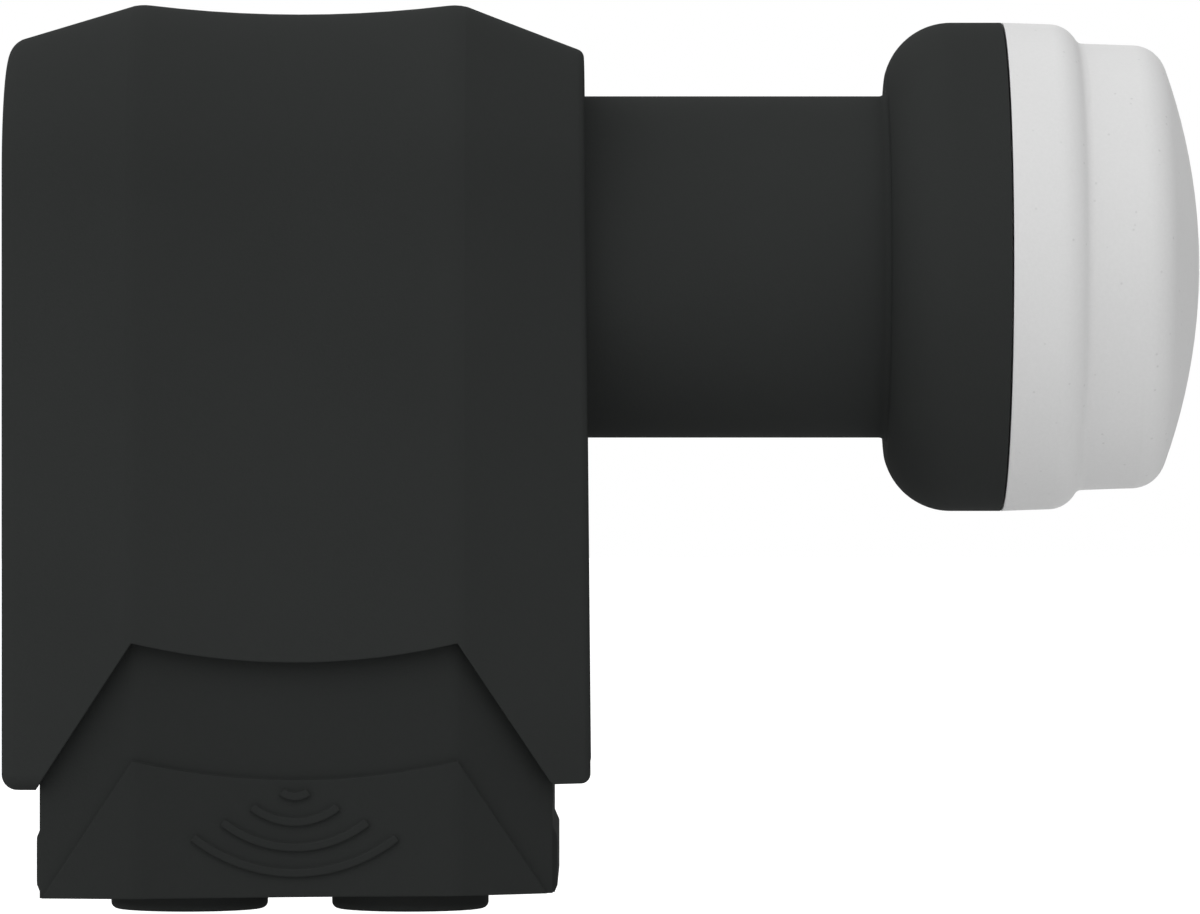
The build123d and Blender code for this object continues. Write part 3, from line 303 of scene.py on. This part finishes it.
def speckle(material, speck_tone, cells_per_metre, reach, bare_share):
    """Sprinkle specks of this tone over a finished plastic."""
    tree = material.node_tree
    base_colour = tree.nodes["Principled BSDF"].inputs["Base Color"]
    place = tree.nodes["Texture Coordinate"].outputs["Object"]
    specks = place_group(
        tree, fine_specks, Cells_per_metre=cells_per_metre, Reach=reach, Bare_share=bare_share
    )
    factor, under, speckled = two_tones(tree, speck_tone, speck_tone)
    tree.links.new(place, specks.inputs["Place"])
    tree.links.new(base_colour.links[0].from_socket, under)
    tree.links.new(specks.outputs["Speck"], factor)
    tree.links.new(speckled, base_colour)


finishes = {}
finishes["black_plastic"] = moulded_plastic(
    "black_plastic",
    dark=(0.0233, 0.0249, 0.0243),
    pale=(0.0297, 0.0316, 0.0309),
    edge_tone=(0.040, 0.042, 0.041),
    grains=3200.0,
    grain_depth=0.00003,
    smooth=0.80,
    rough=0.95,
    gloss=0.012,
)
# Painted shade: the housing's black made darker, standing for the shade on the shroud below the hood.
finishes["shroud_plastic"] = moulded_plastic(
    "shroud_plastic",
    dark=(0.0208, 0.0223, 0.0217),
    pale=(0.0265, 0.0283, 0.0276),
    edge_tone=(0.036, 0.038, 0.037),
    grains=3200.0,
    grain_depth=0.00003,
    smooth=0.80,
    rough=0.95,
    gloss=0.012,
)
finishes["pale_plastic"] = moulded_plastic(
    "pale_plastic",
    dark=(0.58, 0.58, 0.58),
    pale=(0.68, 0.68, 0.68),
    edge_tone=(0.72, 0.72, 0.72),
    grains=2600.0,
    grain_depth=0.00002,
    smooth=0.60,
    rough=0.80,
    gloss=0.03,
)
speckle(
    finishes["pale_plastic"],
    speck_tone=(0.50, 0.50, 0.50),
    cells_per_metre=700.0,
    reach=0.14,
    bare_share=0.6,
)
print("plastics:", ", ".join(finishes))


# %% Plastic and rubber pieces inside
finishes["insulator"] = moulded_plastic(
    "insulator",
    dark=(0.74, 0.73, 0.70),
    pale=(0.82, 0.81, 0.78),
    edge_tone=(0.84, 0.83, 0.80),
    grains=1800.0,
    grain_depth=0.00001,
    smooth=0.30,
    rough=0.42,
    gloss=0.5,
)
finishes["seal_rubber"] = moulded_plastic(
    "seal_rubber",
    dark=(0.018, 0.018, 0.018),
    pale=(0.030, 0.030, 0.030),
    edge_tone=(0.040, 0.040, 0.040),
    grains=2600.0,
    grain_depth=0.00002,
    smooth=0.60,
    rough=0.80,
    gloss=0.3,
)
finishes["chip"] = moulded_plastic(
    "chip",
    dark=(0.022, 0.022, 0.025),
    pale=(0.034, 0.034, 0.038),
    edge_tone=(0.06, 0.06, 0.06),
    grains=5200.0,
    grain_depth=0.00002,
    smooth=0.45,
    rough=0.60,
    gloss=0.4,
)
print("finishes so far:", ", ".join(finishes))

# %% [markdown]
# ## The metals
# Castings have an uneven, slightly pitted skin, while turned and drawn pieces carry fine marks around
# their axis. Both come from one noise whose coordinates are squeezed along one axis: squeezed hard it
# gives turning marks, left alone it gives a cast skin. That noise drives the roughness and a shallow
# bump, and a second, coarser one drives the tone.

# %% Shader group: worked metal
MARK_DETAIL = 4.0
BLOTCHES_PER_METRE = 160.0

worked_metal, metal_in, metal_out = open_group(
    "worked_metal",
    {"Place": VECTOR, "Marks per metre": VECTOR},
    {"Height": FLOAT, "Blotch": FLOAT},
)
squeeze = add_node(worked_metal, "ShaderNodeVectorMath", operation="MULTIPLY")
marks = add_node(worked_metal, "ShaderNodeTexNoise")
marks.inputs["Scale"].default_value = 1.0
marks.inputs["Detail"].default_value = MARK_DETAIL
blotches = add_node(worked_metal, "ShaderNodeTexNoise")
blotches.inputs["Scale"].default_value = BLOTCHES_PER_METRE
worked_metal.links.new(metal_in["Place"], squeeze.inputs[0])
worked_metal.links.new(metal_in["Marks per metre"], squeeze.inputs[1])
worked_metal.links.new(squeeze.outputs["Vector"], marks.inputs["Vector"])
worked_metal.links.new(metal_in["Place"], blotches.inputs["Vector"])
worked_metal.links.new(marks.outputs["Fac"], metal_out["Height"])
worked_metal.links.new(blotches.outputs["Fac"], metal_out["Blotch"])
print("shader group:", worked_metal.name)


# %% Metal finishes
METAL_EDGE_RADIUS = 0.0002
MARK_BUMP = 0.5


def bare_metal(name, dull, bright, marks_per_metre, mark_depth, smooth, rough):
    """Make a bare or plated metal: blotched tone, marks in bump and roughness, and soft edges."""
    material, tree, shader, place = open_material(name)
    skin = place_group(tree, worked_metal, Marks_per_metre=marks_per_metre)
    edges = place_group(tree, soft_edges, Radius=METAL_EDGE_RADIUS)
    tone_factor, _, tone = two_tones(tree, dull, bright)
    sheen = add_node(tree, "ShaderNodeMapRange")
    sheen.inputs["To Min"].default_value = smooth
    sheen.inputs["To Max"].default_value = rough
    bump = add_node(tree, "ShaderNodeBump")
    bump.inputs["Strength"].default_value = MARK_BUMP
    bump.inputs["Distance"].default_value = mark_depth
    tree.links.new(place, skin.inputs["Place"])
    tree.links.new(skin.outputs["Blotch"], tone_factor)
    tree.links.new(tone, shader.inputs["Base Color"])
    tree.links.new(skin.outputs["Height"], sheen.inputs["Value"])
    tree.links.new(sheen.outputs["Result"], shader.inputs["Roughness"])
    tree.links.new(skin.outputs["Height"], bump.inputs["Height"])
    tree.links.new(edges.outputs["Normal"], bump.inputs["Normal"])
    tree.links.new(bump.outputs["Normal"], shader.inputs["Normal"])
    shader.inputs["Metallic"].default_value = 1.0
    return material


CAST_SKIN = (1400.0, 1400.0, 1400.0)
TURNED_UPRIGHT = (500.0, 500.0, 9000.0)
FINE_EVEN = (2600.0, 2600.0, 2600.0)
finishes["die_cast"] = bare_metal(
    "die_cast",
    dull=(0.50, 0.50, 0.51),
    bright=(0.64, 0.64, 0.65),
    marks_per_metre=CAST_SKIN,
    mark_depth=0.00006,
    smooth=0.38,
    rough=0.62,
)
finishes["connector_plating"] = bare_metal(
    "connector_plating",
    dull=(0.60, 0.57, 0.52),
    bright=(0.72, 0.69, 0.64),
    marks_per_metre=TURNED_UPRIGHT,
    mark_depth=0.00001,
    smooth=0.18,
    rough=0.34,
)
finishes["contact_brass"] = bare_metal(
    "contact_brass",
    dull=(0.68, 0.50, 0.20),
    bright=(0.80, 0.62, 0.28),
    marks_per_metre=TURNED_UPRIGHT,
    mark_depth=0.00001,
    smooth=0.18,
    rough=0.30,
)
finishes["copper"] = bare_metal(
    "copper",
    dull=(0.66, 0.36, 0.22),
    bright=(0.80, 0.46, 0.30),
    marks_per_metre=FINE_EVEN,
    mark_depth=0.00001,
    smooth=0.25,
    rough=0.40,
)
finishes["can"] = bare_metal(
    "can",
    dull=(0.58, 0.58, 0.58),
    bright=(0.70, 0.70, 0.70),
    marks_per_metre=FINE_EVEN,
    mark_depth=0.00001,
    smooth=0.20,
    rough=0.35,
)
finishes["screw_steel"] = bare_metal(
    "screw_steel",
    dull=(0.46, 0.46, 0.45),
    bright=(0.58, 0.58, 0.57),
    marks_per_metre=FINE_EVEN,
    mark_depth=0.00001,
    smooth=0.25,
    rough=0.40,
)
print("finishes with the metals:", ", ".join(finishes))

# %% [markdown]
# ## The circuit boards
# A board is glass cloth under green lacquer. The copper under the lacquer shows as slightly paler
# lanes, which a brick pattern gives without drawing any real circuit, and the glass weave shows as a
# faint fine check.

# %% Board finish
LANE_GREEN = (0.030, 0.150, 0.075, 1.0)
PALE_LANE_GREEN = (0.042, 0.190, 0.098, 1.0)
GAP_GREEN = (0.020, 0.105, 0.052, 1.0)
LANES_PER_METRE = 320.0
GAP_SHARE = 0.06
WEAVE_PER_METRE = 4000.0
WEAVE_BUMP = 0.2
WEAVE_DEPTH = 0.00001
LACQUER_ROUGHNESS = 0.32

board, board_tree, lacquer, board_place = open_material("board")
lanes = add_node(board_tree, "ShaderNodeTexBrick")
lanes.inputs["Color1"].default_value = LANE_GREEN
lanes.inputs["Color2"].default_value = PALE_LANE_GREEN
lanes.inputs["Mortar"].default_value = GAP_GREEN
lanes.inputs["Scale"].default_value = LANES_PER_METRE
lanes.inputs["Mortar Size"].default_value = GAP_SHARE
weave = add_node(board_tree, "ShaderNodeTexChecker")
weave.inputs["Scale"].default_value = WEAVE_PER_METRE
weave_bump = add_node(board_tree, "ShaderNodeBump")
weave_bump.inputs["Strength"].default_value = WEAVE_BUMP
weave_bump.inputs["Distance"].default_value = WEAVE_DEPTH
board_tree.links.new(board_place, lanes.inputs["Vector"])
board_tree.links.new(board_place, weave.inputs["Vector"])
board_tree.links.new(lanes.outputs["Color"], lacquer.inputs["Base Color"])
board_tree.links.new(weave.outputs["Fac"], weave_bump.inputs["Height"])
board_tree.links.new(weave_bump.outputs["Normal"], lacquer.inputs["Normal"])
lacquer.inputs["Roughness"].default_value = LACQUER_ROUGHNESS
finishes["board"] = board
print("board: lacquer over lanes")

# %% [markdown]
# ## Giving every solid its finish
# The record names a material slot for each solid, so the finishes above are keyed by slot, and one loop
# dresses the whole frame.

# %% Dress the frame
for subpart in record["subparts"]:
    solid = nodes[subpart["node"]]
    for material_slot in solid.material_slots:
        material_slot.material = finishes[subpart["material_slot"]]
print("dressed", len(record["subparts"]), "nodes in", len(finishes), "finishes")

# %% [markdown]
# ## The output connectors
# Each output is a nickel plated F connector: a hexagon flange, a barrel with a fine thread, and a
# chamfered mouth around the white insulator. Their solids have plain barrels, so the visual piece puts
# the thread on. One connector is turned from a profile in bmesh, with many fine rings along the barrel.
# A Geometry Nodes tree then lifts those rings into a thread and sets four connectors out on the grid of
# the outputs. A thread is a rule, height against angle, which is why nodes suit it.

# %% Sizes and places of the outputs
MILLIMETRE = 0.001
body_low, body_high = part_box("connector_body_1")
opposite_low, opposite_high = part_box("connector_body_4")
first_output = ((body_low + body_high) / 2).to_2d()
last_output = ((opposite_low + opposite_high) / 2).to_2d()
outputs_middle = (first_output + last_output) / 2
output_pitch = abs(last_output.x - first_output.x)
output_row_pitch = abs(last_output.y - first_output.y)
OUTPUTS_IN_ROW = 2
OUTPUT_ROWS = 2
mouth_z = body_low.z
stub_z = body_high.z
BARREL_LENGTH = 12.0 * MILLIMETRE
THREAD_RADIUS = 4.76 * MILLIMETRE
THREAD_DEPTH = 0.42 * MILLIMETRE
THREAD_PITCH = 0.794 * MILLIMETRE
FLANGE_HEIGHT = 3.5 * MILLIMETRE
FLANGE_ACROSS = 11.0 * MILLIMETRE
BORE_RADIUS = 3.6 * MILLIMETRE
STUB_RADIUS = 4.0 * MILLIMETRE
MOUTH_CHAMFER = 0.25 * MILLIMETRE
HEXAGON_CHAMFER = 0.5 * MILLIMETRE
both_pitches = [round(pitch / MILLIMETRE, 2) for pitch in (output_pitch, output_row_pitch)]
print("outputs: pitches", both_pitches, "mm")


# %% One connector, turned
def turned(shape, profile, steps):
    """Turn a closed profile of (radius, height) points around the upright axis into the open bmesh."""
    rings = []
    for step in range(steps):
        angle = 2 * math.pi * step / steps
        ring = [shape.verts.new((r * math.cos(angle), r * math.sin(angle), z)) for r, z in profile]
        rings.append(ring)
    for here, there in zip(rings, rings[1:] + rings[:1]):
        for low in range(len(profile)):
            high = (low + 1) % len(profile)
            shape.faces.new((here[low], there[low], there[high], here[high]))


TURNING_STEPS = 72
RINGS_PER_PITCH = 6
HEXAGON_SIDES = 6
root_radius = THREAD_RADIUS - THREAD_DEPTH
thread_low = mouth_z + MOUTH_CHAMFER
thread_high = mouth_z + BARREL_LENGTH
thread_length = thread_high - thread_low
ring_count = round(thread_length / THREAD_PITCH * RINGS_PER_PITCH)
flange_high = thread_high + FLANGE_HEIGHT
flange_middle = (thread_high + flange_high) / 2
barrel_profile = [
    (BORE_RADIUS, stub_z),
    (BORE_RADIUS, mouth_z),
    (root_radius - MOUTH_CHAMFER, mouth_z),
]
for ring in range(ring_count + 1):
    barrel_profile.append((root_radius, thread_low + thread_length * ring / ring_count))
barrel_profile += [
    (root_radius, flange_middle),
    (STUB_RADIUS, flange_middle),
    (STUB_RADIUS, stub_z),
]
flange_inside = (BORE_RADIUS + STUB_RADIUS) / 2
hexagon_corner = FLANGE_ACROSS / math.sqrt(3)
hexagon_profile = (
    (flange_inside, thread_high),
    (FLANGE_ACROSS / 2, thread_high),
    (hexagon_corner, thread_high + HEXAGON_CHAMFER),
    (hexagon_corner, flange_high),
    (flange_inside, flange_high),
)
connector_shape = bmesh.new()
turned(connector_shape, barrel_profile, TURNING_STEPS)
turned(connector_shape, hexagon_profile, HEXAGON_SIDES)
bmesh.ops.recalc_face_normals(connector_shape, faces=connector_shape.faces)
connector_mesh = bpy.data.meshes.new("one_connector")
connector_shape.to_mesh(connector_mesh)
connector_shape.free()
print("one connector:", len(connector_mesh.polygons), "faces")


# %% Geometry Nodes helpers
def open_tree(name, inputs):
    """Start a Geometry Nodes tree with these named inputs and return it with its way in and its way out."""
    tree = bpy.data.node_groups.new(name, "GeometryNodeTree")
    tree.interface.new_socket("Geometry", in_out="INPUT", socket_type="NodeSocketGeometry")
    for socket_name, socket_type in inputs.items():
        tree.interface.new_socket(socket_name, in_out="INPUT", socket_type=socket_type)
    tree.interface.new_socket("Geometry", in_out="OUTPUT", socket_type="NodeSocketGeometry")
    way_in = tree.nodes.new("NodeGroupInput")
    way_out = tree.nodes.new("NodeGroupOutput")
    return tree, way_in.outputs, way_out.inputs


def calculated(tree, operation, first, second):
    """Add a Math node with this operation; each operand is a socket or a plain number."""
    node = add_node(tree, "ShaderNodeMath", operation=operation)
    for place, operand in enumerate((first, second)):
        if isinstance(operand, (int, float)):
            node.inputs[place].default_value = operand
        else:
            tree.links.new(operand, node.inputs[place])
    return node.outputs["Value"]


def grown(name, start_mesh, tree, values):
    """Run a tree on a mesh with these input values and return the plain mesh that it makes."""
    maker = bpy.data.objects.new(name + "_maker", start_mesh)
    bpy.context.collection.objects.link(maker)
    growing = maker.modifiers.new("grow", "NODES")
    growing.node_group = tree
    for item in tree.interface.items_tree:
        if item.in_out == "INPUT" and item.name in values:
            growing[item.identifier] = values[item.name]
    bpy.context.view_layer.update()
    ready = maker.evaluated_get(bpy.context.evaluated_depsgraph_get())
    mesh = bpy.data.meshes.new_from_object(ready)
    mesh.name = name
    bpy.data.objects.remove(maker)
    return mesh


# %% Tree: the thread's height
outputs_tree, tree_in, tree_out = open_tree(
    "threaded_outputs",
    {
        "Thread depth": FLOAT,
        "Thread pitch": FLOAT,
        "Thread low": FLOAT,
        "Thread high": FLOAT,
        "Output pitch": FLOAT,
        "Row pitch": FLOAT,
        "Middle": VECTOR,
    },
)
HALF_PITCH = 0.5
ROOT_SHARE = 0.06
CREST_SHARE = 0.44

point = add_node(outputs_tree, "GeometryNodeInputPosition").outputs["Position"]
parts = add_node(outputs_tree, "ShaderNodeSeparateXYZ")
outputs_tree.links.new(point, parts.inputs["Vector"])
angle = calculated(outputs_tree, "ARCTAN2", parts.outputs["Y"], parts.outputs["X"])
turns = calculated(outputs_tree, "DIVIDE", angle, 2 * math.pi)
pitches = calculated(outputs_tree, "DIVIDE", parts.outputs["Z"], tree_in["Thread pitch"])
along_thread = calculated(outputs_tree, "ADD", turns, pitches)
wave = calculated(outputs_tree, "PINGPONG", along_thread, HALF_PITCH)
crest = add_node(outputs_tree, "ShaderNodeMapRange")
crest.inputs["From Min"].default_value = ROOT_SHARE
crest.inputs["From Max"].default_value = CREST_SHARE
outputs_tree.links.new(wave, crest.inputs["Value"])
room_below = calculated(outputs_tree, "SUBTRACT", parts.outputs["Z"], tree_in["Thread low"])
room_above = calculated(outputs_tree, "SUBTRACT", tree_in["Thread high"], parts.outputs["Z"])
room = calculated(outputs_tree, "MINIMUM", room_below, room_above)
run_out = add_node(outputs_tree, "ShaderNodeClamp")
room_in_pitches = calculated(outputs_tree, "DIVIDE", room, tree_in["Thread pitch"])
outputs_tree.links.new(room_in_pitches, run_out.inputs["Value"])
share = calculated(outputs_tree, "MULTIPLY", crest.outputs["Result"], run_out.outputs["Result"])
lift = calculated(outputs_tree, "MULTIPLY", share, tree_in["Thread depth"])
print("tree so far:", len(outputs_tree.nodes), "nodes for the thread's height")

# %% Tree: raise the thread and set the outputs out
level_out = add_node(outputs_tree, "ShaderNodeCombineXYZ")
outward = add_node(outputs_tree, "ShaderNodeVectorMath", operation="NORMALIZE")
raised = add_node(outputs_tree, "ShaderNodeVectorMath", operation="SCALE")
threaded = add_node(outputs_tree, "GeometryNodeSetPosition")
outputs_tree.links.new(parts.outputs["X"], level_out.inputs["X"])
outputs_tree.links.new(parts.outputs["Y"], level_out.inputs["Y"])
outputs_tree.links.new(level_out.outputs["Vector"], outward.inputs[0])
outputs_tree.links.new(outward.outputs["Vector"], raised.inputs[0])
outputs_tree.links.new(lift, raised.inputs["Scale"])
outputs_tree.links.new(tree_in["Geometry"], threaded.inputs["Geometry"])
outputs_tree.links.new(raised.outputs["Vector"], threaded.inputs["Offset"])

places = add_node(outputs_tree, "GeometryNodeMeshGrid")
places.inputs["Vertices X"].default_value = OUTPUTS_IN_ROW
places.inputs["Vertices Y"].default_value = OUTPUT_ROWS
centred = add_node(outputs_tree, "GeometryNodeTransform")
copies = add_node(outputs_tree, "GeometryNodeInstanceOnPoints")
real = add_node(outputs_tree, "GeometryNodeRealizeInstances")
plated = add_node(outputs_tree, "GeometryNodeSetMaterial")
plated.inputs["Material"].default_value = finishes["connector_plating"]
outputs_tree.links.new(tree_in["Output pitch"], places.inputs["Size X"])
outputs_tree.links.new(tree_in["Row pitch"], places.inputs["Size Y"])
outputs_tree.links.new(places.outputs["Mesh"], centred.inputs["Geometry"])
outputs_tree.links.new(tree_in["Middle"], centred.inputs["Translation"])
outputs_tree.links.new(centred.outputs["Geometry"], copies.inputs["Points"])
outputs_tree.links.new(threaded.outputs["Geometry"], copies.inputs["Instance"])
outputs_tree.links.new(copies.outputs["Instances"], real.inputs["Geometry"])
outputs_tree.links.new(real.outputs["Geometry"], plated.inputs["Geometry"])
outputs_tree.links.new(plated.outputs["Geometry"], tree_out["Geometry"])
print("tree:", outputs_tree.name, "with", len(outputs_tree.nodes), "nodes")

# %% The four outputs
CRISP_ANGLE = math.radians(32)

outputs_mesh = grown(
    "output_connectors",
    connector_mesh,
    outputs_tree,
    {
        "Thread depth": THREAD_DEPTH,
        "Thread pitch": THREAD_PITCH,
        "Thread low": thread_low,
        "Thread high": thread_high,
        "Output pitch": output_pitch,
        "Row pitch": output_row_pitch,
        "Middle": (*outputs_middle, 0.0),
    },
)
outputs_mesh.shade_smooth()
outputs_mesh.set_sharp_from_angle(angle=CRISP_ANGLE)
outputs = bpy.data.objects.new("output_connectors", outputs_mesh)
bpy.context.collection.objects.link(outputs)
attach(outputs, "housing")
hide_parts(*[f"connector_body_{number}" for number in range(1, 5)])
print("outputs:", len(outputs_mesh.polygons), "faces")

# %% [markdown]
# ## The neck and its collar
# The neck and the collar are one moulding, and a mould leaves a small rounded corner where they meet.
# The solid has a narrow groove there, which would show as a black line. The visual piece is turned from
# the same section, with the rounded corner in the groove's place. A turned section needs no nodes: it
# is one profile swept around the axis.


# %% Section of the neck and collar
def arc(centre_radius, centre_along, radius, start, end, steps):
    """Return the points of an arc in a section, as pairs of radius and place along the axis."""
    angles = [start + (end - start) * step / steps for step in range(steps + 1)]
    return [(centre_radius + radius * math.cos(a), centre_along + radius * math.sin(a)) for a in angles]


sleeve_low, sleeve_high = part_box("neck_sleeve")
NECK_RADIUS = 20.0 * MILLIMETRE
NECK_END = 18.0 * MILLIMETRE
NECK_BORE = 17.5 * MILLIMETRE
SPIGOT_RADIUS = 18.5 * MILLIMETRE
SPIGOT_BORE = 16.5 * MILLIMETRE
COLLAR_RADIUS = 28.6 * MILLIMETRE
CUP_RADIUS = 26.0 * MILLIMETRE
CUP_FLOOR = 20.4 * MILLIMETRE
CORNER_RADIUS = 0.8 * MILLIMETRE
CORNER_STEPS = 12
SHOULDER_LENGTH = 7.6 * MILLIMETRE
SHOULDER_DROP = 5.8 * MILLIMETRE
SHOULDER_STEPS = 24
shoulder_radius = (SHOULDER_LENGTH**2 + SHOULDER_DROP**2) / (2 * SHOULDER_DROP)
shoulder_start = -math.asin(SHOULDER_LENGTH / shoulder_radius)
corner = arc(
    centre_radius=NECK_RADIUS + CORNER_RADIUS,
    centre_along=NECK_END - CORNER_RADIUS,
    radius=CORNER_RADIUS,
    start=math.pi,
    end=math.pi / 2,
    steps=CORNER_STEPS,
)
shoulder = arc(
    centre_radius=COLLAR_RADIUS - shoulder_radius,
    centre_along=NECK_END + SHOULDER_LENGTH,
    radius=shoulder_radius,
    start=shoulder_start,
    end=0.0,
    steps=SHOULDER_STEPS,
)
sleeve_profile = [
    (SPIGOT_RADIUS, sleeve_low.x),
    (SPIGOT_RADIUS, -NECK_END),
    (NECK_RADIUS, -NECK_END),
    *corner,
    *shoulder,
    (COLLAR_RADIUS, sleeve_high.x),
    (CUP_RADIUS, sleeve_high.x),
    (CUP_RADIUS, CUP_FLOOR),
    (NECK_BORE, CUP_FLOOR),
    (NECK_BORE, -NECK_END),
    (SPIGOT_BORE, -NECK_END),
    (SPIGOT_BORE, sleeve_low.x),
]
print("neck and collar:", len(sleeve_profile), "points in the section")

# %% Turn the neck and collar
SLEEVE_STEPS = 192
SLEEVE_CRISP_ANGLE = math.radians(10)

sleeve_shape = bmesh.new()
turned(sleeve_shape, sleeve_profile, SLEEVE_STEPS)
bmesh.ops.rotate(sleeve_shape, verts=sleeve_shape.verts, matrix=Matrix.Rotation(math.pi / 2, 3, "Y"))
bmesh.ops.recalc_face_normals(sleeve_shape, faces=sleeve_shape.faces)
sleeve_mesh = bpy.data.meshes.new("neck_and_collar")
sleeve_shape.to_mesh(sleeve_mesh)
sleeve_shape.free()
sleeve_mesh.shade_smooth()
sleeve_mesh.set_sharp_from_angle(angle=SLEEVE_CRISP_ANGLE)
sleeve_mesh.materials.append(finishes["black_plastic"])
sleeve = bpy.data.objects.new("neck_and_collar", sleeve_mesh)
bpy.context.collection.objects.link(sleeve)
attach(sleeve, "housing")
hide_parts("neck_sleeve")
solid_radius = round(sleeve_high.z / MILLIMETRE, 2)
print("neck and collar:", len(sleeve_mesh.polygons), "faces, solid's radius", solid_radius, "mm")

# %% [markdown]
# ## Stage and light
# The photograph stands on pure white with very even light: in its tones, the top of the cap is only a
# quarter brighter than its underside. A world that is brighter above than below gives most of that, a
# shade on the cap's side keeps the dome darker than its ring, and one large lamp above the camera adds
# a little direction. Camera and mirror rays see plain white instead, and the floor keeps a soft shadow.


# %% Stage helpers
def background_rays(tree):
    """Return a mask that is 1 for the rays that should see the white background."""
    rays = add_node(tree, "ShaderNodeLightPath")
    shiny = add_node(tree, "ShaderNodeMath", operation="MAXIMUM")
    seen = add_node(tree, "ShaderNodeMath", operation="MAXIMUM")
    tree.links.new(rays.outputs["Is Glossy Ray"], shiny.inputs[0])
    tree.links.new(rays.outputs["Is Transmission Ray"], shiny.inputs[1])
    tree.links.new(rays.outputs["Is Camera Ray"], seen.inputs[0])
    tree.links.new(shiny.outputs["Value"], seen.inputs[1])
    return seen.outputs["Value"]


# %% World
WORLD_LEVEL = 1.0
WORLD_TILT = (0.02, 0.0, 0.40)
SHADE_STARTS = 0.1
SHADE_DEPTH = 1.0
BACKGROUND_WHITE = 1.0

world = bpy.data.worlds.new("studio")
bpy.context.scene.world = world
world.use_nodes = True
sky = world.node_tree
direction = add_node(sky, "ShaderNodeTexCoord")
tilted = add_node(sky, "ShaderNodeVectorMath", operation="DOT_PRODUCT")
tilted.inputs[1].default_value = WORLD_TILT
level = add_node(sky, "ShaderNodeMath", operation="ADD")
level.inputs[1].default_value = WORLD_LEVEL
sideways = add_node(sky, "ShaderNodeSeparateXYZ")
shade = add_node(sky, "ShaderNodeMapRange", interpolation_type="SMOOTHSTEP")
shade.inputs["From Min"].default_value = SHADE_STARTS
shade.inputs["To Min"].default_value = 1.0
shade.inputs["To Max"].default_value = 1.0 - SHADE_DEPTH
shaded = add_node(sky, "ShaderNodeMath", operation="MULTIPLY")
strength = add_node(sky, "ShaderNodeMix", data_type="FLOAT")
live(strength.inputs, "B").default_value = BACKGROUND_WHITE
sky.links.new(direction.outputs["Generated"], tilted.inputs[0])
sky.links.new(tilted.outputs["Value"], level.inputs[0])
sky.links.new(background_rays(sky), live(strength.inputs, "Factor"))
sky.links.new(direction.outputs["Generated"], sideways.inputs["Vector"])
sky.links.new(sideways.outputs["X"], shade.inputs["Value"])
sky.links.new(level.outputs["Value"], shaded.inputs[0])
sky.links.new(shade.outputs["Result"], shaded.inputs[1])
sky.links.new(shaded.outputs["Value"], live(strength.inputs, "A"))
sky.nodes["Background"].inputs["Color"].default_value = (1.0, 1.0, 1.0, 1.0)
sky.links.new(live(strength.outputs, "Result"), sky.nodes["Background"].inputs["Strength"])
print("world: level", WORLD_LEVEL, "tilted by", WORLD_TILT)

# %% Floor
FLOOR_SIZE = 8.0
FLOOR_DROP = 0.0125
FLOOR_GLOW = 0.4
FLOOR_TONE = 0.78
FLOOR_ROUGHNESS = 0.9

floor_mesh = bpy.data.meshes.new("floor")
floor_shape = bmesh.new()
bmesh.ops.create_grid(floor_shape, x_segments=1, y_segments=1, size=FLOOR_SIZE / 2)
bmesh.ops.translate(floor_shape, verts=floor_shape.verts, vec=(0.0, 0.0, cad_low.z - FLOOR_DROP))
floor_shape.to_mesh(floor_mesh)
floor_shape.free()
floor = bpy.data.objects.new("floor", floor_mesh)
bpy.context.collection.objects.link(floor)

floor_paper, paper_tree, paper, _ = open_material("floor_paper")
paper.inputs["Base Color"].default_value = (FLOOR_TONE, FLOOR_TONE, FLOOR_TONE, 1.0)
paper.inputs["Roughness"].default_value = FLOOR_ROUGHNESS
paper.inputs["Specular IOR Level"].default_value = 0.0
paper.inputs["Emission Color"].default_value = (1.0, 1.0, 1.0, 1.0)
glow = add_node(paper_tree, "ShaderNodeMath", operation="MULTIPLY")
glow.inputs[1].default_value = FLOOR_GLOW
paper_tree.links.new(background_rays(paper_tree), glow.inputs[0])
paper_tree.links.new(glow.outputs["Value"], paper.inputs["Emission Strength"])
from_below = add_node(paper_tree, "ShaderNodeNewGeometry").outputs["Backfacing"]
clear = add_node(paper_tree, "ShaderNodeBsdfTransparent")
either = add_node(paper_tree, "ShaderNodeMixShader")
paper_tree.links.new(from_below, either.inputs["Fac"])
paper_tree.links.new(paper.outputs["BSDF"], either.inputs[1])
paper_tree.links.new(clear.outputs["BSDF"], either.inputs[2])
paper_tree.links.new(either.outputs["Shader"], paper_tree.nodes["Material Output"].inputs["Surface"])
floor_mesh.materials.append(floor_paper)
floor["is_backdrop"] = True
print("floor:", round((cad_low.z - FLOOR_DROP) / MILLIMETRE, 1), "mm, clear from below")

# %% Lamp
LAMP_PLACE = (0.4, -1.2, 0.95)
LAMP_SIZE = 1.4
LAMP_WATTS = 4.5

lamp_data = bpy.data.lights.new("soft_box", "AREA")
lamp_data.shape = "SQUARE"
lamp_data.size = LAMP_SIZE
lamp_data.energy = LAMP_WATTS
lamp = bpy.data.objects.new("soft_box", lamp_data)
lamp.location = LAMP_PLACE
lamp.rotation_euler = (-Vector(LAMP_PLACE)).to_track_quat("-Z", "Y").to_euler()
bpy.context.collection.objects.link(lamp)
print("lamp:", LAMP_WATTS, "W")

# %% [markdown]
# ## The size
# The script prints how far the visual model reaches past the solids' box on each side.

# %% Print the growth past the solids' box
visual_low, visual_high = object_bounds()
growth = (*(cad_low - visual_low), *(visual_high - cad_high))
print("grew by", [round(value / MILLIMETRE, 3) for value in growth], "mm")
